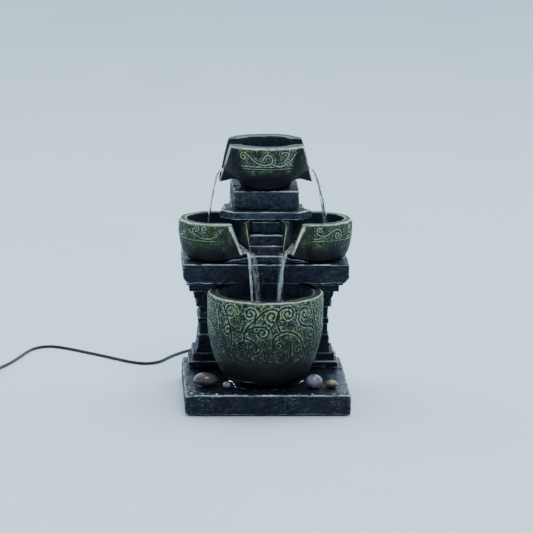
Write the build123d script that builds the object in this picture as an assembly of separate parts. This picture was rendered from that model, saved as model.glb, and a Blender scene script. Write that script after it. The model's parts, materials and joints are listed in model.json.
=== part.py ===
from build123d import *
import os
from math import cos, pi, radians, tan

# Tabletop water fountain in millimetres: +Z up, the front faces -Y, X runs to the viewer's right.
# The origin is on the standing surface, under the middle of the base slab.
# Water runs from the big reservoir bowl through a short pipe into a sump inside the tower, where a
# small pump lifts it to the top bowl; it falls into the two side bowls and back into the reservoir.

# Stacked-stone castings
slab_side = 176.0
slab_top = 23.9
foot_gap = 1.0
tower_back = 84.0
tower_front = 37.0
course_count = 11
course_joint = 1.0
joint_depth = 1.5
waist_half = 71.0
waist_low = 65.0
waist_high = 85.0
foot_flare = 15.0
head_flare = 17.0
foot_step = 9.0
corbel_start = 105.0
corbel_reach = 30.0
ledge_bottom = 127.3
ledge_top = 149.9
ledge_half = 89.5
ledge_front = -18.5
stair_half = 46.0
stair_tops = (158.0, 168.0, 179.0, 192.0)
stair_fronts = (-14.0, -9.0, -4.0, 1.0)
crown_bottom = 196.5
crown_top = 206.0
crown_front = -17.0
plinth_top = 226.7
plinth_half = 35.6
plinth_front = -5.0

# Bowls: place of the foot, then radii and heights above the foot
reservoir_x = -1.2
reservoir_y = -25.5
reservoir_height = 99.0
reservoir_rim = 62.0
reservoir_inner = 49.5
reservoir_foot = 30.0
reservoir_floor = 9.0
side_x = 53.5
side_y = 16.4
side_height = 44.4
side_rim = 39.9
side_inner = 30.0
side_foot = 29.0
side_floor_r = 18.0
side_spout_turn = 52.0
top_y = 25.0
top_height = 49.3
top_rim = 50.0
top_inner = 33.0
top_foot = 27.0
top_floor_r = 22.0
bowl_floor = 8.0
lip = 3.0
inner_ease = 1.5
belly_facets = 6
dish_facets = 4
clear = 0.3
fit_gap = 0.1

# Sump, rear opening and its cover
sump_half = 58.0
sump_floor = 32.0
sump_front = 44.0
sump_back = 79.0
opening_half = 29.0
opening_low = 133.0
opening_high = 186.0
cover_border = 5.0
cover_thick = 2.5
channel_half = 8.0
pipe_z = 82.0
pipe_r = 6.0
pipe_bore = 4.5

# Pump: its spindle lies along X
pump_y = 61.5
pump_z = 53.0
pump_left = -18.0
pump_right = 22.0
pump_half_y = 15.5
pump_half_z = 17.0
chamber_r = 12.5
well_r = 6.5
shaft_r = 1.0
running_clear = 0.05
nozzle_x = -13.0
riser_r = 4.5
riser_bore = 3.0
bush_r = 4.0

# Power lead and its plug
cord_d = 3.2
cord_r = cord_d / 2
cord_length = 1500.0
cord_exit_x = -30.0
cord_exit_z = 116.0
table_z = 1.7
coil_r = 17.6
coil_half = 5.1
coil_height = 9.9
coil_x = -316.8
coil_y = 105.5
tie_thick = 0.8
tie_half = 2.0
plug_z = 3.6

parts_made = {}


def block(x0, x1, y0, y1, z0, z1):
    """A box between two corners."""
    return Pos((x0 + x1) / 2, (y0 + y1) / 2, (z0 + z1) / 2) * Box(x1 - x0, y1 - y0, z1 - z0)


def rod_z(x, y, z0, z1, r):
    """An upright cylinder."""
    return Pos(x, y, (z0 + z1) / 2) * Cylinder(r, z1 - z0)


def rod_x(x0, x1, r, y=pump_y, z=pump_z):
    """A cylinder along X, on the pump spindle unless told otherwise."""
    return Pos((x0 + x1) / 2, y, z) * Rot(0, 90, 0) * Cylinder(r, x1 - x0)


def rod_y(x, z, y0, y1, r):
    """A cylinder along Y."""
    return Pos(x, (y0 + y1) / 2, z) * Rot(90, 0, 0) * Cylinder(r, y1 - y0)


def prism_y(points, y0, y1):
    """An outline of (x, z) points drawn out along Y."""
    plane = Plane(origin=(0, y1, 0), x_dir=(1, 0, 0), z_dir=(0, -1, 0))
    return extrude(plane * Polygon(*points, align=None), amount=y1 - y0, dir=(0, -1, 0))


def prism_z(points, z0, z1):
    """An outline of (x, y) points drawn up along Z."""
    return extrude(Pos(0, 0, z0) * Polygon(*points, align=None), amount=z1 - z0, dir=(0, 0, 1))


def keep(name, shape):
    """Store a finished node under its name."""
    parts_made[name] = shape


# ---------------------------------------------------------------- bowls

def facets(curve, count):
    """Points that divide a curve into straight facets."""
    return [curve @ (i / count) for i in range(count + 1)]


def turned(profile):
    """A solid of revolution about Z from a closed half profile of points in the XZ plane."""
    return revolve(make_face(Polyline(*profile, close=True)), axis=Axis.Z)


def bowl_outer(rim, foot, bulge, height, grow=0.0):
    """The filled outer shape: foot, swelling belly turned in facets, upright wall and eased lip.

    bulge lists the two inner control points of the belly's curve and its end point.
    """
    wall = rim + grow
    belly = Bezier((foot + grow, 0, 0), *[(r + grow, 0, z) for r, z in bulge])
    edge = lip * (1 - cos(radians(45)))
    return turned([
        (0, 0, 0), *facets(belly, belly_facets),
        (wall, 0, height - lip), (wall - edge, 0, height - edge), (wall - lip, 0, height),
        (0, 0, height),
    ])


def bowl_inner(inner, floor_r, floor_z, height):
    """The hollow of a bowl, with an eased inner edge and a dished floor."""
    side_z = floor_z + (height - floor_z) * 0.4
    dish = Bezier((floor_r, 0, floor_z), (inner, 0, floor_z + 1), (inner, 0, side_z))
    return turned([
        (0, 0, floor_z), *facets(dish, dish_facets),
        (inner, 0, height - inner_ease), (inner + inner_ease, 0, height),
        (inner + inner_ease, 0, height + 1), (0, 0, height + 1),
    ])


def spout_solid(s, height):
    """The filled lip that stands out along +X, tapering to its tip."""
    side = [
        (s["root"], height),
        (s["notch"], height),
        (s["tip"], s["tip_z"] + s["floor"]),
        (s["tip"], s["tip_z"]),
        (s["under"], s["under_z"]),
        (s["root"], s["root_z"]),
    ]
    plan = [
        (s["root"], -s["root_half"]),
        (s["tip"] + 1, -s["tip_half"]),
        (s["tip"] + 1, s["tip_half"]),
        (s["root"], s["root_half"]),
    ]
    return prism_y(side, -s["root_half"], s["root_half"]) & prism_z(plan, 0, height)


def spout_notch(s, height):
    """What is cut away outside the sloping edges of the two spout walls."""
    far = s["tip"] + 15
    side = [
        (s["notch"], height + 2),
        (s["notch"], height),
        (s["tip"], s["tip_z"] + s["floor"]),
        (s["tip"], 0),
        (far, 0),
        (far, height + 2),
    ]
    return prism_y(side, -60, 60)


def notch_in_front(s, height):
    """The notch cut, on the spout's own side of the bowl only."""
    return spout_notch(s, height) & block(s["notch"] - 5, s["tip"] + 15, -60, 60, 0, height + 2)


def spout_channel(s, height):
    """The open run from the hollow of the bowl out to the tip."""
    side = [
        (s["run_start"], s["run_z"]),
        (s["tip"] + 2, s["tip_z"] + s["floor"]),
        (s["tip"] + 2, height + 2),
        (s["run_start"], height + 2),
    ]
    plan = [
        (s["run_start"], -s["run_half"]),
        (s["tip"] + 2, -s["mouth_half"]),
        (s["tip"] + 2, s["mouth_half"]),
        (s["run_start"], s["run_half"]),
    ]
    return prism_y(side, -60, 60) & prism_z(plan, 0, height + 2)


side_spout = {
    "root": 14.0, "root_z": 3.0, "root_half": 20.0,
    "notch": 37.0, "tip": 52.5, "tip_z": 10.0, "floor": 2.5, "tip_half": 6.5,
    "under": 38.0, "under_z": 4.5,
    "run_start": 14.0, "run_z": 14.0, "run_half": 14.0, "mouth_half": 3.5,
}
top_spout = {
    "root": 14.0, "root_z": 9.5, "root_half": 31.0,
    "notch": 40.0, "tip": 50.6, "tip_z": 4.8, "floor": 2.5, "tip_half": 10.0,
    "under": 36.0, "under_z": 9.5,
    "run_start": 14.0, "run_z": 10.5, "run_half": 25.0, "mouth_half": 6.5,
}
reservoir_bulge = ((48.0, 0.3), (58.0, 28.0), (61.8, 62.0))
side_bulge = ((34.0, 1.5), (39.0, 12.0), (39.9, 30.0))
top_bulge = ((32.0, 14.0), (49.0, 10.0), (50.0, 27.0))


def side_turn(sign):
    """The turn that points a side bowl's spout to the front and inward."""
    return Rot(0, 0, -90 + sign * (90 - side_spout_turn))


def side_bowl_filled(sign, grow=0.0):
    """One side bowl without its hollow; sign is +1 for the left bowl and -1 for the right one."""
    body = bowl_outer(side_rim, side_foot, side_bulge, side_height, grow)
    body = body + side_turn(sign) * spout_solid(side_spout, side_height)
    return Pos(-sign * side_x, side_y, ledge_top) * body


def side_bowl(sign):
    """One side bowl with its hollow and its open spout."""
    turn = side_turn(sign)
    bowl = bowl_outer(side_rim, side_foot, side_bulge, side_height)
    bowl = bowl + turn * spout_solid(side_spout, side_height)
    bowl = bowl - turn * notch_in_front(side_spout, side_height)
    bowl = bowl - bowl_inner(side_inner, side_floor_r, bowl_floor, side_height)
    bowl = bowl - turn * spout_channel(side_spout, side_height)
    return Pos(-sign * side_x, side_y, ledge_top) * bowl


def top_bowl():
    """The top bowl, with a spout to each side and a hole for the outlet bush."""
    bowl = bowl_outer(top_rim, top_foot, top_bulge, top_height)
    turns = [Rot(0, 0, 0), Rot(0, 0, 180)]
    for turn in turns:
        bowl = bowl + turn * spout_solid(top_spout, top_height)
    for turn in turns:
        bowl = bowl - turn * notch_in_front(top_spout, top_height)
    bowl = bowl - bowl_inner(top_inner, top_floor_r, bowl_floor, top_height)
    for turn in turns:
        bowl = bowl - turn * spout_channel(top_spout, top_height)
    bowl = bowl - rod_z(0, 0, -1, bowl_floor + 4, bush_r + fit_gap)
    return Pos(0, top_y, plinth_top) * bowl


def reservoir_bowl():
    """The big carved bowl on the slab, with a hole at the back for the transfer pipe."""
    bowl = bowl_outer(reservoir_rim, reservoir_foot, reservoir_bulge, reservoir_height)
    bowl = bowl - bowl_inner(reservoir_inner, reservoir_foot, reservoir_floor, reservoir_height)
    bowl = Pos(reservoir_x, reservoir_y, slab_top) * bowl
    return bowl - rod_y(0, pipe_z, 10, 40, pipe_r + fit_gap)


# ---------------------------------------------------------------- stone castings

def tower_half(z):
    """Half width of the waisted lower tower at a height."""
    low = max(0.0, (waist_low - z) / (waist_low - slab_top))
    high = max(0.0, (z - waist_high) / (ledge_bottom - waist_high))
    return waist_half + foot_flare * low ** 2.2 + head_flare * high ** 1.25


def tower_face(z):
    """Y of the lower tower's front face at a height."""
    low = max(0.0, (60.0 - z) / 36.0)
    high = max(0.0, (z - corbel_start) / (ledge_bottom - corbel_start))
    return tower_front - foot_step * low ** 1.5 - corbel_reach * high


def lower_tower():
    """Eleven stone courses around the sump, waisted and stepped out at head and foot."""
    pitch = (ledge_bottom - slab_top) / course_count
    levels = [slab_top + pitch * i for i in range(course_count)]
    sizes = []
    for i, z in enumerate(levels):
        ragged = 0.8 if i % 2 else -0.4
        sizes.append((tower_half(z + pitch / 2) + ragged, tower_face(z + pitch / 2) - ragged))
    tower = None
    for i, z in enumerate(levels):
        half, face = sizes[i]
        top = z + pitch - (course_joint if i < course_count - 1 else 0)
        course = block(-half, half, face, tower_back, z, top)
        tower = course if tower is None else tower + course
        if i < course_count - 1:
            inner = min(half, sizes[i + 1][0]) - joint_depth
            front = max(face, sizes[i + 1][1]) + joint_depth
            tower = tower + block(-inner, inner, front, tower_back, top, z + pitch)
    tower = tower - block(-sump_half, sump_half, sump_front, sump_back, sump_floor, ledge_bottom + 1)
    tower = tower - rod_z(reservoir_x, reservoir_y, slab_top + 60, ledge_bottom + 1, reservoir_rim + 0.5)
    tower = tower - rod_y(0, pipe_z, 30, sump_front + 1, pipe_r + fit_gap)
    tower = tower - rod_y(cord_exit_x, cord_exit_z, sump_back - 1, tower_back + 1, 4.0)
    return tower


def rear_rebate(z0, z1):
    """The shallow seat of the rear cover and the hand opening inside it, over a height range."""
    half = opening_half + cover_border
    seat = block(-half - clear, half + clear, tower_back - cover_thick, tower_back + 1,
                 max(z0, opening_low - cover_border + 0.8 - clear),
                 min(z1, opening_high + cover_border + clear))
    hole = block(-opening_half, opening_half, sump_back - 1, tower_back,
                 max(z0, opening_low), min(z1, opening_high))
    return seat + hole


def ledge_slab():
    """The wide ledge that carries the side bowls, open over the sump."""
    chamfer_x = 5.0
    chamfer_z = 6.0
    outline = [
        (-ledge_half, ledge_top), (-ledge_half, ledge_bottom + chamfer_z),
        (-ledge_half + chamfer_x, ledge_bottom), (ledge_half - chamfer_x, ledge_bottom),
        (ledge_half, ledge_bottom + chamfer_z), (ledge_half, ledge_top),
    ]
    ledge = prism_y(outline, ledge_front, tower_back)
    ledge = ledge - block(-opening_half, opening_half, sump_front, sump_back,
                          ledge_bottom - 1, ledge_top + 1)
    return ledge - rear_rebate(ledge_bottom, ledge_top + 1)


def upper_tower():
    """Stepped courses between the side bowls under a wide crown course."""
    tower = None
    floor = ledge_top
    for top, front in zip(stair_tops, stair_fronts):
        course = block(-stair_half, stair_half, front, tower_back, floor, top)
        tower = course if tower is None else tower + course
        floor = top
    tower = tower + block(-stair_half + 2, stair_half - 2, stair_fronts[-1] + 4, tower_back,
                          floor, crown_bottom)
    crown = [
        (-35, crown_front), (35, crown_front), (50, 0), (37, 14),
        (37, tower_back), (-37, tower_back), (-37, 14), (-50, 0),
    ]
    tower = tower + prism_z(crown, crown_bottom, crown_top)
    for sign in (1, -1):
        tower = tower - side_bowl_filled(sign, clear)
    tower = tower - block(-opening_half, opening_half, 58, sump_back, ledge_top - 1, 192)
    tower = tower - block(-channel_half, channel_half, 22, 60, ledge_top - 1, crown_top + 1)
    return tower - rear_rebate(ledge_top - 1, 200)


def top_plinth():
    """The block under the top bowl, hollow where the riser tube passes."""
    back = plinth_half + 1.4
    outline = [
        (-plinth_half, plinth_front), (plinth_half, plinth_front),
        (back, tower_back), (-back, tower_back),
    ]
    plinth = prism_z(outline, crown_top, plinth_top)
    plinth = plinth - block(-channel_half, channel_half, 18, 42, crown_top - 1, crown_top + 12)
    return plinth - rod_z(0, top_y, crown_top, plinth_top + 1, 6.5)


def base_slab():
    """The square slab, with four shallow seats for its feet."""
    half = slab_side / 2
    slab = block(-half, half, -half, half, foot_gap, slab_top)
    slab = fillet(slab.edges().filter_by(Axis.Z), 3.0)
    for x, y in foot_places():
        slab = slab - rod_z(x, y, 0, foot_gap + 1, 6.2)
    return slab


def foot_places():
    """Centres of the four feet."""
    inset = slab_side / 2 - 14
    return [(x, y) for x in (-inset, inset) for y in (-inset, inset)]


def rubber_feet():
    """Four soft discs that the slab stands on."""
    return [fillet(rod_z(x, y, 0, foot_gap + 1, 6.0).edges().sort_by(Axis.Z)[0], 0.4)
            for x, y in foot_places()]


def pebble(x, y, a, b, c, turn, lean):
    """A smooth river pebble with half axes a, b and c, bedded flat on the slab."""
    stone = Pos(x, y, slab_top + c * 0.82) * Rot(0, 0, turn) * Rot(0, lean, 0)
    stone = stone * scale(Sphere(1.0), by=(a, b, c))
    return stone - block(x - 40, x + 40, y - 40, y + 40, slab_top - 20, slab_top)


# ---------------------------------------------------------------- transfer pipe, cover, grommet

def transfer_pipe():
    """A short pipe that lets the reservoir fill the sump, with a collar in the sump."""
    pipe = rod_y(0, pipe_z, 21, sump_front + 4, pipe_r)
    pipe = pipe + rod_y(0, pipe_z, sump_front, sump_front + 2.5, pipe_r + 3)
    return pipe - rod_y(0, pipe_z, 20, sump_front + 6, pipe_bore)


def rear_cover():
    """A push-in cover with a locating skirt, air slots and a finger notch."""
    half = opening_half + cover_border
    low = opening_low - cover_border + 0.8
    high = opening_high + cover_border
    skirt_half = opening_half - clear
    skirt_low = opening_low + clear
    skirt_high = opening_high - clear
    wall = 2.0
    plate = block(-half, half, tower_back - cover_thick, tower_back, low, high)
    plate = fillet(plate.edges().filter_by(Axis.Y), 3.0)
    skirt = block(-skirt_half, skirt_half, sump_back - 3, tower_back - cover_thick, skirt_low, skirt_high)
    skirt = skirt - block(-skirt_half + wall, skirt_half - wall, sump_back - 4, tower_back - cover_thick,
                          skirt_low + wall, skirt_high - wall)
    cover = plate + skirt
    for i in range(5):
        z = opening_low + 12 + i * 4.5
        cover = cover - block(-14, 14, sump_back, tower_back + 1, z, z + 2)
    return cover - rod_y(0, high + 2, tower_back - 1.2, tower_back + 1, 9.0)


def cord_grommet():
    """A rubber grommet in the back wall, with a tapered sleeve for the lead."""
    bore = cord_r + fit_gap
    sleeve_end = tower_back + 7
    flange = 5.7
    body = rod_y(cord_exit_x, cord_exit_z, sump_back - 1.7, sump_back, flange)
    body = body + rod_y(cord_exit_x, cord_exit_z, sump_back, tower_back, 3.95)
    body = body + rod_y(cord_exit_x, cord_exit_z, tower_back, tower_back + 1.6, flange)
    sleeve_base = tower_back + 1.6
    sleeve = Rot(-90, 0, 0) * Cone(3.6, 2.4, sleeve_end - sleeve_base)
    body = body + Pos(cord_exit_x, (sleeve_base + sleeve_end) / 2, cord_exit_z) * sleeve
    return body - rod_y(cord_exit_x, cord_exit_z, sump_back - 3, sleeve_end + 1, bore)


# ---------------------------------------------------------------- pump

def pump_housing():
    """The moulded body: impeller chamber, thin-walled rotor well and stator pocket."""
    body = block(pump_left, pump_right, pump_y - pump_half_y, pump_y + pump_half_y,
                 pump_z - pump_half_z, pump_z + pump_half_z)
    body = fillet(body.edges().filter_by(Axis.X), 4.0)
    body = body + rod_z(nozzle_x, pump_y, pump_z + pump_half_z, pump_z + pump_half_z + 7, 6.5)
    body = body - rod_x(pump_left - 1, pump_left + 9, chamber_r)
    body = body - rod_z(nozzle_x, pump_y, pump_z + 9, pump_z + pump_half_z + 8, 4.0)
    body = body - rod_x(pump_left + 8, 10, well_r)
    body = body - rod_x(9, 12.5, 2.5)
    body = body - stator_pocket(pump_right + 1)
    for x, y in cup_places():
        body = body - rod_z(x, y, pump_z - pump_half_z - 1, pump_z - pump_half_z + 2.2, 1.5)
    return body


def stator_pocket(end):
    """The ring-shaped pocket around the rotor well, open at the right-hand end."""
    return rod_x(-5, end, 13.5) - rod_x(-6, 14, well_r + 1.2)


def pole_turns():
    """The four directions of the stator poles about the spindle."""
    return [Pos(0, pump_y, pump_z) * Rot(angle, 0, 0) for angle in (0, 90, 180, 270)]


def stator_core():
    """Laminated ring with four inward poles."""
    core = rod_x(-3, 9, 13.4) - rod_x(-4, 10, 12.3)
    for turn in pole_turns():
        core = core + turn * block(-3, 9, -2, 2, 8.2, 12.6)
    return core


def stator_coils():
    """Four windings, one around each pole."""
    coils = []
    for turn in pole_turns():
        coil = block(-4.5, 10.5, -4.2, 4.2, 8.8, 11.3) - block(-3.1, 9.1, -2.1, 2.1, 8, 12)
        coils.append(turn * coil)
    return coils


def driver_board():
    """The round circuit board behind the stator, with its chip and capacitor."""
    board = rod_x(15.5, 16.7, 12.5)
    board = board + block(16.7, 18.2, pump_y - 3, pump_y + 3, pump_z - 6, pump_z - 1)
    return board + rod_x(16.7, 19.5, 2.0, pump_y + 5, pump_z + 2)


def pump_potting(buried):
    """The cast resin that seals the stator pocket around what is buried in it."""
    potting = stator_pocket(pump_right - 1.5)
    for shape in buried:
        potting = potting - shape
    return potting


def volute_cover():
    """The disc that closes the impeller chamber, with a three-armed bearing spider in its inlet."""
    cover = rod_x(pump_left, pump_left + 2, chamber_r)
    cover = cover - rod_x(pump_left - 1, pump_left + 3, 6.5)
    hub = rod_x(pump_left, pump_left + 4, 4.0)
    cover = cover + hub
    for angle in (90, 210, 330):
        arm = Pos(0, pump_y, pump_z) * Rot(angle, 0, 0) * block(pump_left, pump_left + 1.8, -1, 1, 3, 7.5)
        cover = cover + arm
    return cover - rod_x(pump_left + 1, pump_left + 5, 2.5)


def shaft_bushes():
    """A soft bush at each end of the shaft."""
    front = rod_x(pump_left + 1, pump_left + 4, 2.5) - rod_x(pump_left, pump_left + 5, shaft_r)
    rear = rod_x(10, 12.5, 2.5) - rod_x(9, 13, shaft_r)
    return [front, rear]


def pump_shaft():
    """The fixed ceramic shaft that the rotor turns on."""
    return rod_x(pump_left + 1.2, 12.3, shaft_r)


def rotor_magnet():
    """The magnet in the well."""
    return rod_x(-8.6, 9.2, well_r - 0.4) - rod_x(-9, 10, shaft_r + running_clear)


def impeller():
    """Five straight vanes on a disc."""
    wheel = rod_x(-10.8, -9.6, 11.0) + rod_x(-13.6, -8.6, 3.5)
    for i in range(5):
        vane = Pos(0, pump_y, pump_z) * Rot(72 * i, 0, 0) * block(-15.2, -10.8, -0.6, 0.6, 5.2, 10.8)
        wheel = wheel + vane
    return wheel - rod_x(-14, -8, shaft_r + running_clear)


def intake_cover():
    """The pull-off strainer cap over the inlet end, slotted against grit."""
    left = pump_left - 11
    right = pump_left - 0.2
    wall = 2.0
    cap = block(left, right, pump_y - pump_half_y, pump_y + pump_half_y,
                pump_z - pump_half_z, pump_z + pump_half_z)
    cap = fillet(cap.edges().filter_by(Axis.X), 4.0)
    cap = cap - block(left + wall, right + 1, pump_y - pump_half_y + wall, pump_y + pump_half_y - wall,
                      pump_z - pump_half_z + wall, pump_z + pump_half_z - wall)
    for i in range(6):
        y = pump_y - 11 + i * 4.4
        cap = cap - block(left - 1, left + wall + 1, y - 1, y + 1, pump_z - 12, pump_z + 4)
    return cap - rod_x(left - 1, left + wall + 1, 1.15, pump_y, pump_z + 11)


def flow_dial():
    """The small dial on the strainer that narrows the inlet."""
    face = pump_left - 11.2
    dial = rod_x(face - 2.2, face, 5.0, pump_y, pump_z + 11)
    dial = dial + rod_x(face - 3.2, face - 2.2, 2.2, pump_y, pump_z + 11)
    dial = dial + block(face - 2.2, face, pump_y - 1.3, pump_y + 1.3, pump_z + 3, pump_z + 7)
    return dial + rod_x(face, face + 3.4, 1.05, pump_y, pump_z + 11)


def cup_places():
    """Centres of the four suction cups."""
    return [(x, pump_y + dy) for x in (-12, 16) for dy in (-10.5, 10.5)]


def suction_cups():
    """Four soft cups that hold the pump on the sump floor."""
    bottom = pump_z - pump_half_z
    cups = []
    for x, y in cup_places():
        cup = Pos(x, y, (sump_floor + bottom - 1.5) / 2) * Cone(4.5, 2.2, bottom - 1.5 - sump_floor)
        cup = cup + rod_z(x, y, bottom - 1.5, bottom, 2.2) + rod_z(x, y, bottom, bottom + 2, 1.5)
        cup = cup - Pos(x, y, sump_floor + 0.5) * Cone(3.6, 1.2, 1.2)
        cups.append(cup)
    return cups


def nozzle_adapter():
    """The stepped adapter between the pump's outlet and the riser tube."""
    base = pump_z + pump_half_z + 7
    body = rod_z(nozzle_x, pump_y, base - 8, base, 4.0) + rod_z(nozzle_x, pump_y, base, base + 2, 6.5)
    body = body + rod_z(nozzle_x, pump_y, base + 2, base + 12, riser_bore)
    return body - rod_z(nozzle_x, pump_y, base - 9, base + 13, riser_bore - 1)


def riser_points():
    """The route of the riser tube, from the adapter to the floor of the top bowl."""
    base = pump_z + pump_half_z + 9
    return [
        (nozzle_x, pump_y, base), (nozzle_x, pump_y, base + 21), (-8, 62, 124), (-2, 59.5, 150),
        (0, 50, 172), (0, 37, 190), (0, top_y, 208), (0, top_y, plinth_top - 0.5),
    ]


def top_outlet():
    """The bush in the top bowl's floor, with a barb for the riser tube and a flange under water."""
    floor = plinth_top + bowl_floor
    bush = rod_z(0, top_y, plinth_top - 0.5, floor, bush_r) + rod_z(0, top_y, floor, floor + 2, 7.0)
    bush = bush + rod_z(0, top_y, plinth_top - 11, plinth_top - 0.5, riser_bore)
    return bush - rod_z(0, top_y, plinth_top - 12, floor + 3, riser_bore - 1)


# ---------------------------------------------------------------- leads and plug

def bend_radii(points, name):
    """The largest arc each corner's runs allow, printed for the record."""
    radii = []
    for a, b, c in zip(points, points[1:], points[2:]):
        into = Vector(*b) - Vector(*a)
        out = Vector(*c) - Vector(*b)
        half_turn = radians(into.get_angle(out)) / 2
        radii.append(0.45 * min(into.length, out.length) / tan(half_turn))
    print(name, "radii", " ".join(f"{r:.1f}" for r in radii))
    return radii


def tube_along(points, r, name, bore=0.0):
    """A round tube on straight runs joined by tangent arcs, and its length."""
    path = FilletPolyline(*points, radius=bend_radii(points, name))
    start = Plane(origin=path @ 0, z_dir=path % 0)
    tube = sweep(start * Circle(r), path=path)
    section = pi * r ** 2
    if bore:
        tube = tube - sweep(start * Circle(bore), path=path)
        section = section - pi * bore ** 2
    print(f"{name} length {path.length:.1f} volume {tube.volume:.0f} section x length "
          f"{section * path.length:.0f}")
    return tube, path.length


pump_lead_points = [
    (20.5, pump_y, 56), (33, pump_y, 56), (43, 63, 68), (43, 62, 87), (32, 57, 106),
    (12, 51, 117), (-9, 48, 120), (-25, 53, 118.5), (-30, 64, cord_exit_z),
    (cord_exit_x, sump_back, cord_exit_z),
]

lead_points = [
    (cord_exit_x, sump_back, cord_exit_z), (cord_exit_x, 101, cord_exit_z), (-30.5, 122, 107), (-31, 134, 86),
    (-32.5, 139, 60), (-34.5, 142.5, 34), (-37, 152, 11), (-40, 173, table_z), (-44, 194, table_z),
    (-52, 211, table_z), (-71, 214, table_z), (-86, 197, table_z), (-100, 175, table_z),
    (-110, 152, table_z), (-126, 142.5, table_z), (-143, 151, table_z), (-165, 173, table_z),
    (-191, 197, table_z), (-218, 221, table_z), (-237, 230, table_z), (-253, 218, table_z),
    (-262, 195, table_z), (-270, 168, table_z), (-279, 143, table_z), (-291, 119, table_z),
    (-301, 97.5, table_z),
]

tail_points = [
    (-334.3, 106, plug_z), (-335, 121, plug_z), (-333, 136, plug_z), (-328, 148, plug_z),
]


def coil_tie_shape():
    """A flat tie around the bundle of turns, at the side of the coil that faces away."""
    outer = block(coil_r - coil_half - 0.5, coil_r + coil_half + 0.5, -tie_half, tie_half,
                  0, coil_height + 0.4)
    inner = block(coil_r - coil_half - 0.5 + tie_thick, coil_r + coil_half + 0.5 - tie_thick,
                  -tie_half - 1, tie_half + 1, tie_thick, coil_height + 0.4 - tie_thick)
    return Pos(coil_x, coil_y, 0) * Rot(0, 0, 235) * (outer - inner)


def coil_ring(tie):
    """The outer shape of the wound turns."""
    ring = rod_z(coil_x, coil_y, 0, coil_height, coil_r + coil_half)
    ring = ring - rod_z(coil_x, coil_y, -1, coil_height + 1, coil_r - coil_half)
    ring = fillet(ring.edges().filter_by(GeomType.CIRCLE), 1.5)
    return ring - tie


def plug_frame():
    """Where the plug lies: at the end of the tail, pointing on along it."""
    tip = Vector(*tail_points[-1])
    back = Vector(*tail_points[-2])
    return Plane(origin=tip, x_dir=tip - back, z_dir=(0, 0, 1))


def plug_parts():
    """A plain rectangular low-voltage plug: grip, metal shell, tongue and four contacts."""
    frame = plug_frame()
    grip = block(8, 30, -5.6, 5.6, -plug_z, plug_z)
    grip = fillet(grip.edges().filter_by(Axis.X), 2.0)
    grip = grip + Pos(4, 0, 0) * Rot(0, 90, 0) * Cone(2.3, 3.4, 8)
    for i in range(3):
        groove = block(11 + i * 4, 12.5 + i * 4, -3.2, 3.2, plug_z - 0.5, plug_z + 1)
        grip = grip - groove
    shell = block(30, 42, -6.0, 6.0, -2.25, 2.25) - block(29, 43, -5.7, 5.7, -1.95, 1.95)
    tongue = block(30, 41.3, -5.6, 5.6, -1.9, 0.0)
    contacts = [block(31, 40, y - 0.5, y + 0.5, 0.0, 0.25) for y in (-3.5, -1.2, 1.2, 3.5)]
    return (frame.location * grip, frame.location * shell, frame.location * tongue,
            [frame.location * c for c in contacts])


# ---------------------------------------------------------------- assembly

keep("base_slab", base_slab())
keep("rubber_feet", rubber_feet())
keep("lower_tower", lower_tower())
keep("ledge_slab", ledge_slab())
keep("upper_tower", upper_tower())
keep("top_plinth", top_plinth())
keep("reservoir_bowl", reservoir_bowl())
keep("left_bowl", side_bowl(1))
keep("right_bowl", side_bowl(-1))
keep("top_bowl", top_bowl())
keep("pebble_brown", pebble(-64.5, -46.5, 13.5, 9.5, 7.6, 6, 4))
keep("pebble_blue", pebble(-43.0, -57.5, 4.6, 4.2, 3.6, 0, 0))
keep("pebble_grey", pebble(50.0, -57.0, 9.0, 8.6, 8.0, -15, 12))
keep("pebble_cream", pebble(68.5, -55.5, 7.4, 5.6, 4.4, -8, 0))
keep("transfer_pipe", transfer_pipe())
keep("rear_cover", rear_cover())
keep("cord_grommet", cord_grommet())
keep("pump_housing", pump_housing())
keep("stator_core", stator_core())
keep("stator_coils", stator_coils())
keep("driver_board", driver_board())
buried = [parts_made["stator_core"], parts_made["driver_board"]] + parts_made["stator_coils"]
keep("pump_potting", pump_potting(buried))
keep("volute_cover", volute_cover())
keep("shaft_bushes", shaft_bushes())
keep("pump_shaft", pump_shaft())
keep("rotor_magnet", rotor_magnet())
keep("impeller", impeller())
keep("intake_cover", intake_cover())
keep("flow_dial", flow_dial())
keep("suction_cups", suction_cups())
keep("nozzle_adapter", nozzle_adapter())
keep("top_outlet", top_outlet())

keep("riser_tube", tube_along(riser_points(), riser_r, "riser_tube", riser_bore)[0])
keep("pump_lead", tube_along(pump_lead_points, cord_r, "pump_lead")[0])

tie = coil_tie_shape()
ring = coil_ring(tie)
keep("coil_tie", tie)
keep("power_lead_coil", ring)
lead, lead_length = tube_along(lead_points, cord_r, "power_lead")
keep("power_lead", lead - ring)
tail, tail_length = tube_along(tail_points, cord_r, "power_lead_tail")
keep("power_lead_tail", tail - ring)
coiled = cord_length - lead_length - tail_length
print(f"coiled length {coiled:.0f} turns {coiled / (2 * pi * coil_r):.2f}")

grip, shell, tongue, contacts = plug_parts()
keep("plug_body", grip)
keep("plug_shell", shell)
keep("plug_tongue", tongue)
keep("plug_contacts", contacts)

os.makedirs("parts", exist_ok=True)
for name, shape in parts_made.items():
    if isinstance(shape, list):
        shape = Compound(children=shape)
    export_step(shape, f"parts/{name}.step")
print(len(parts_made), "nodes")
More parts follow.
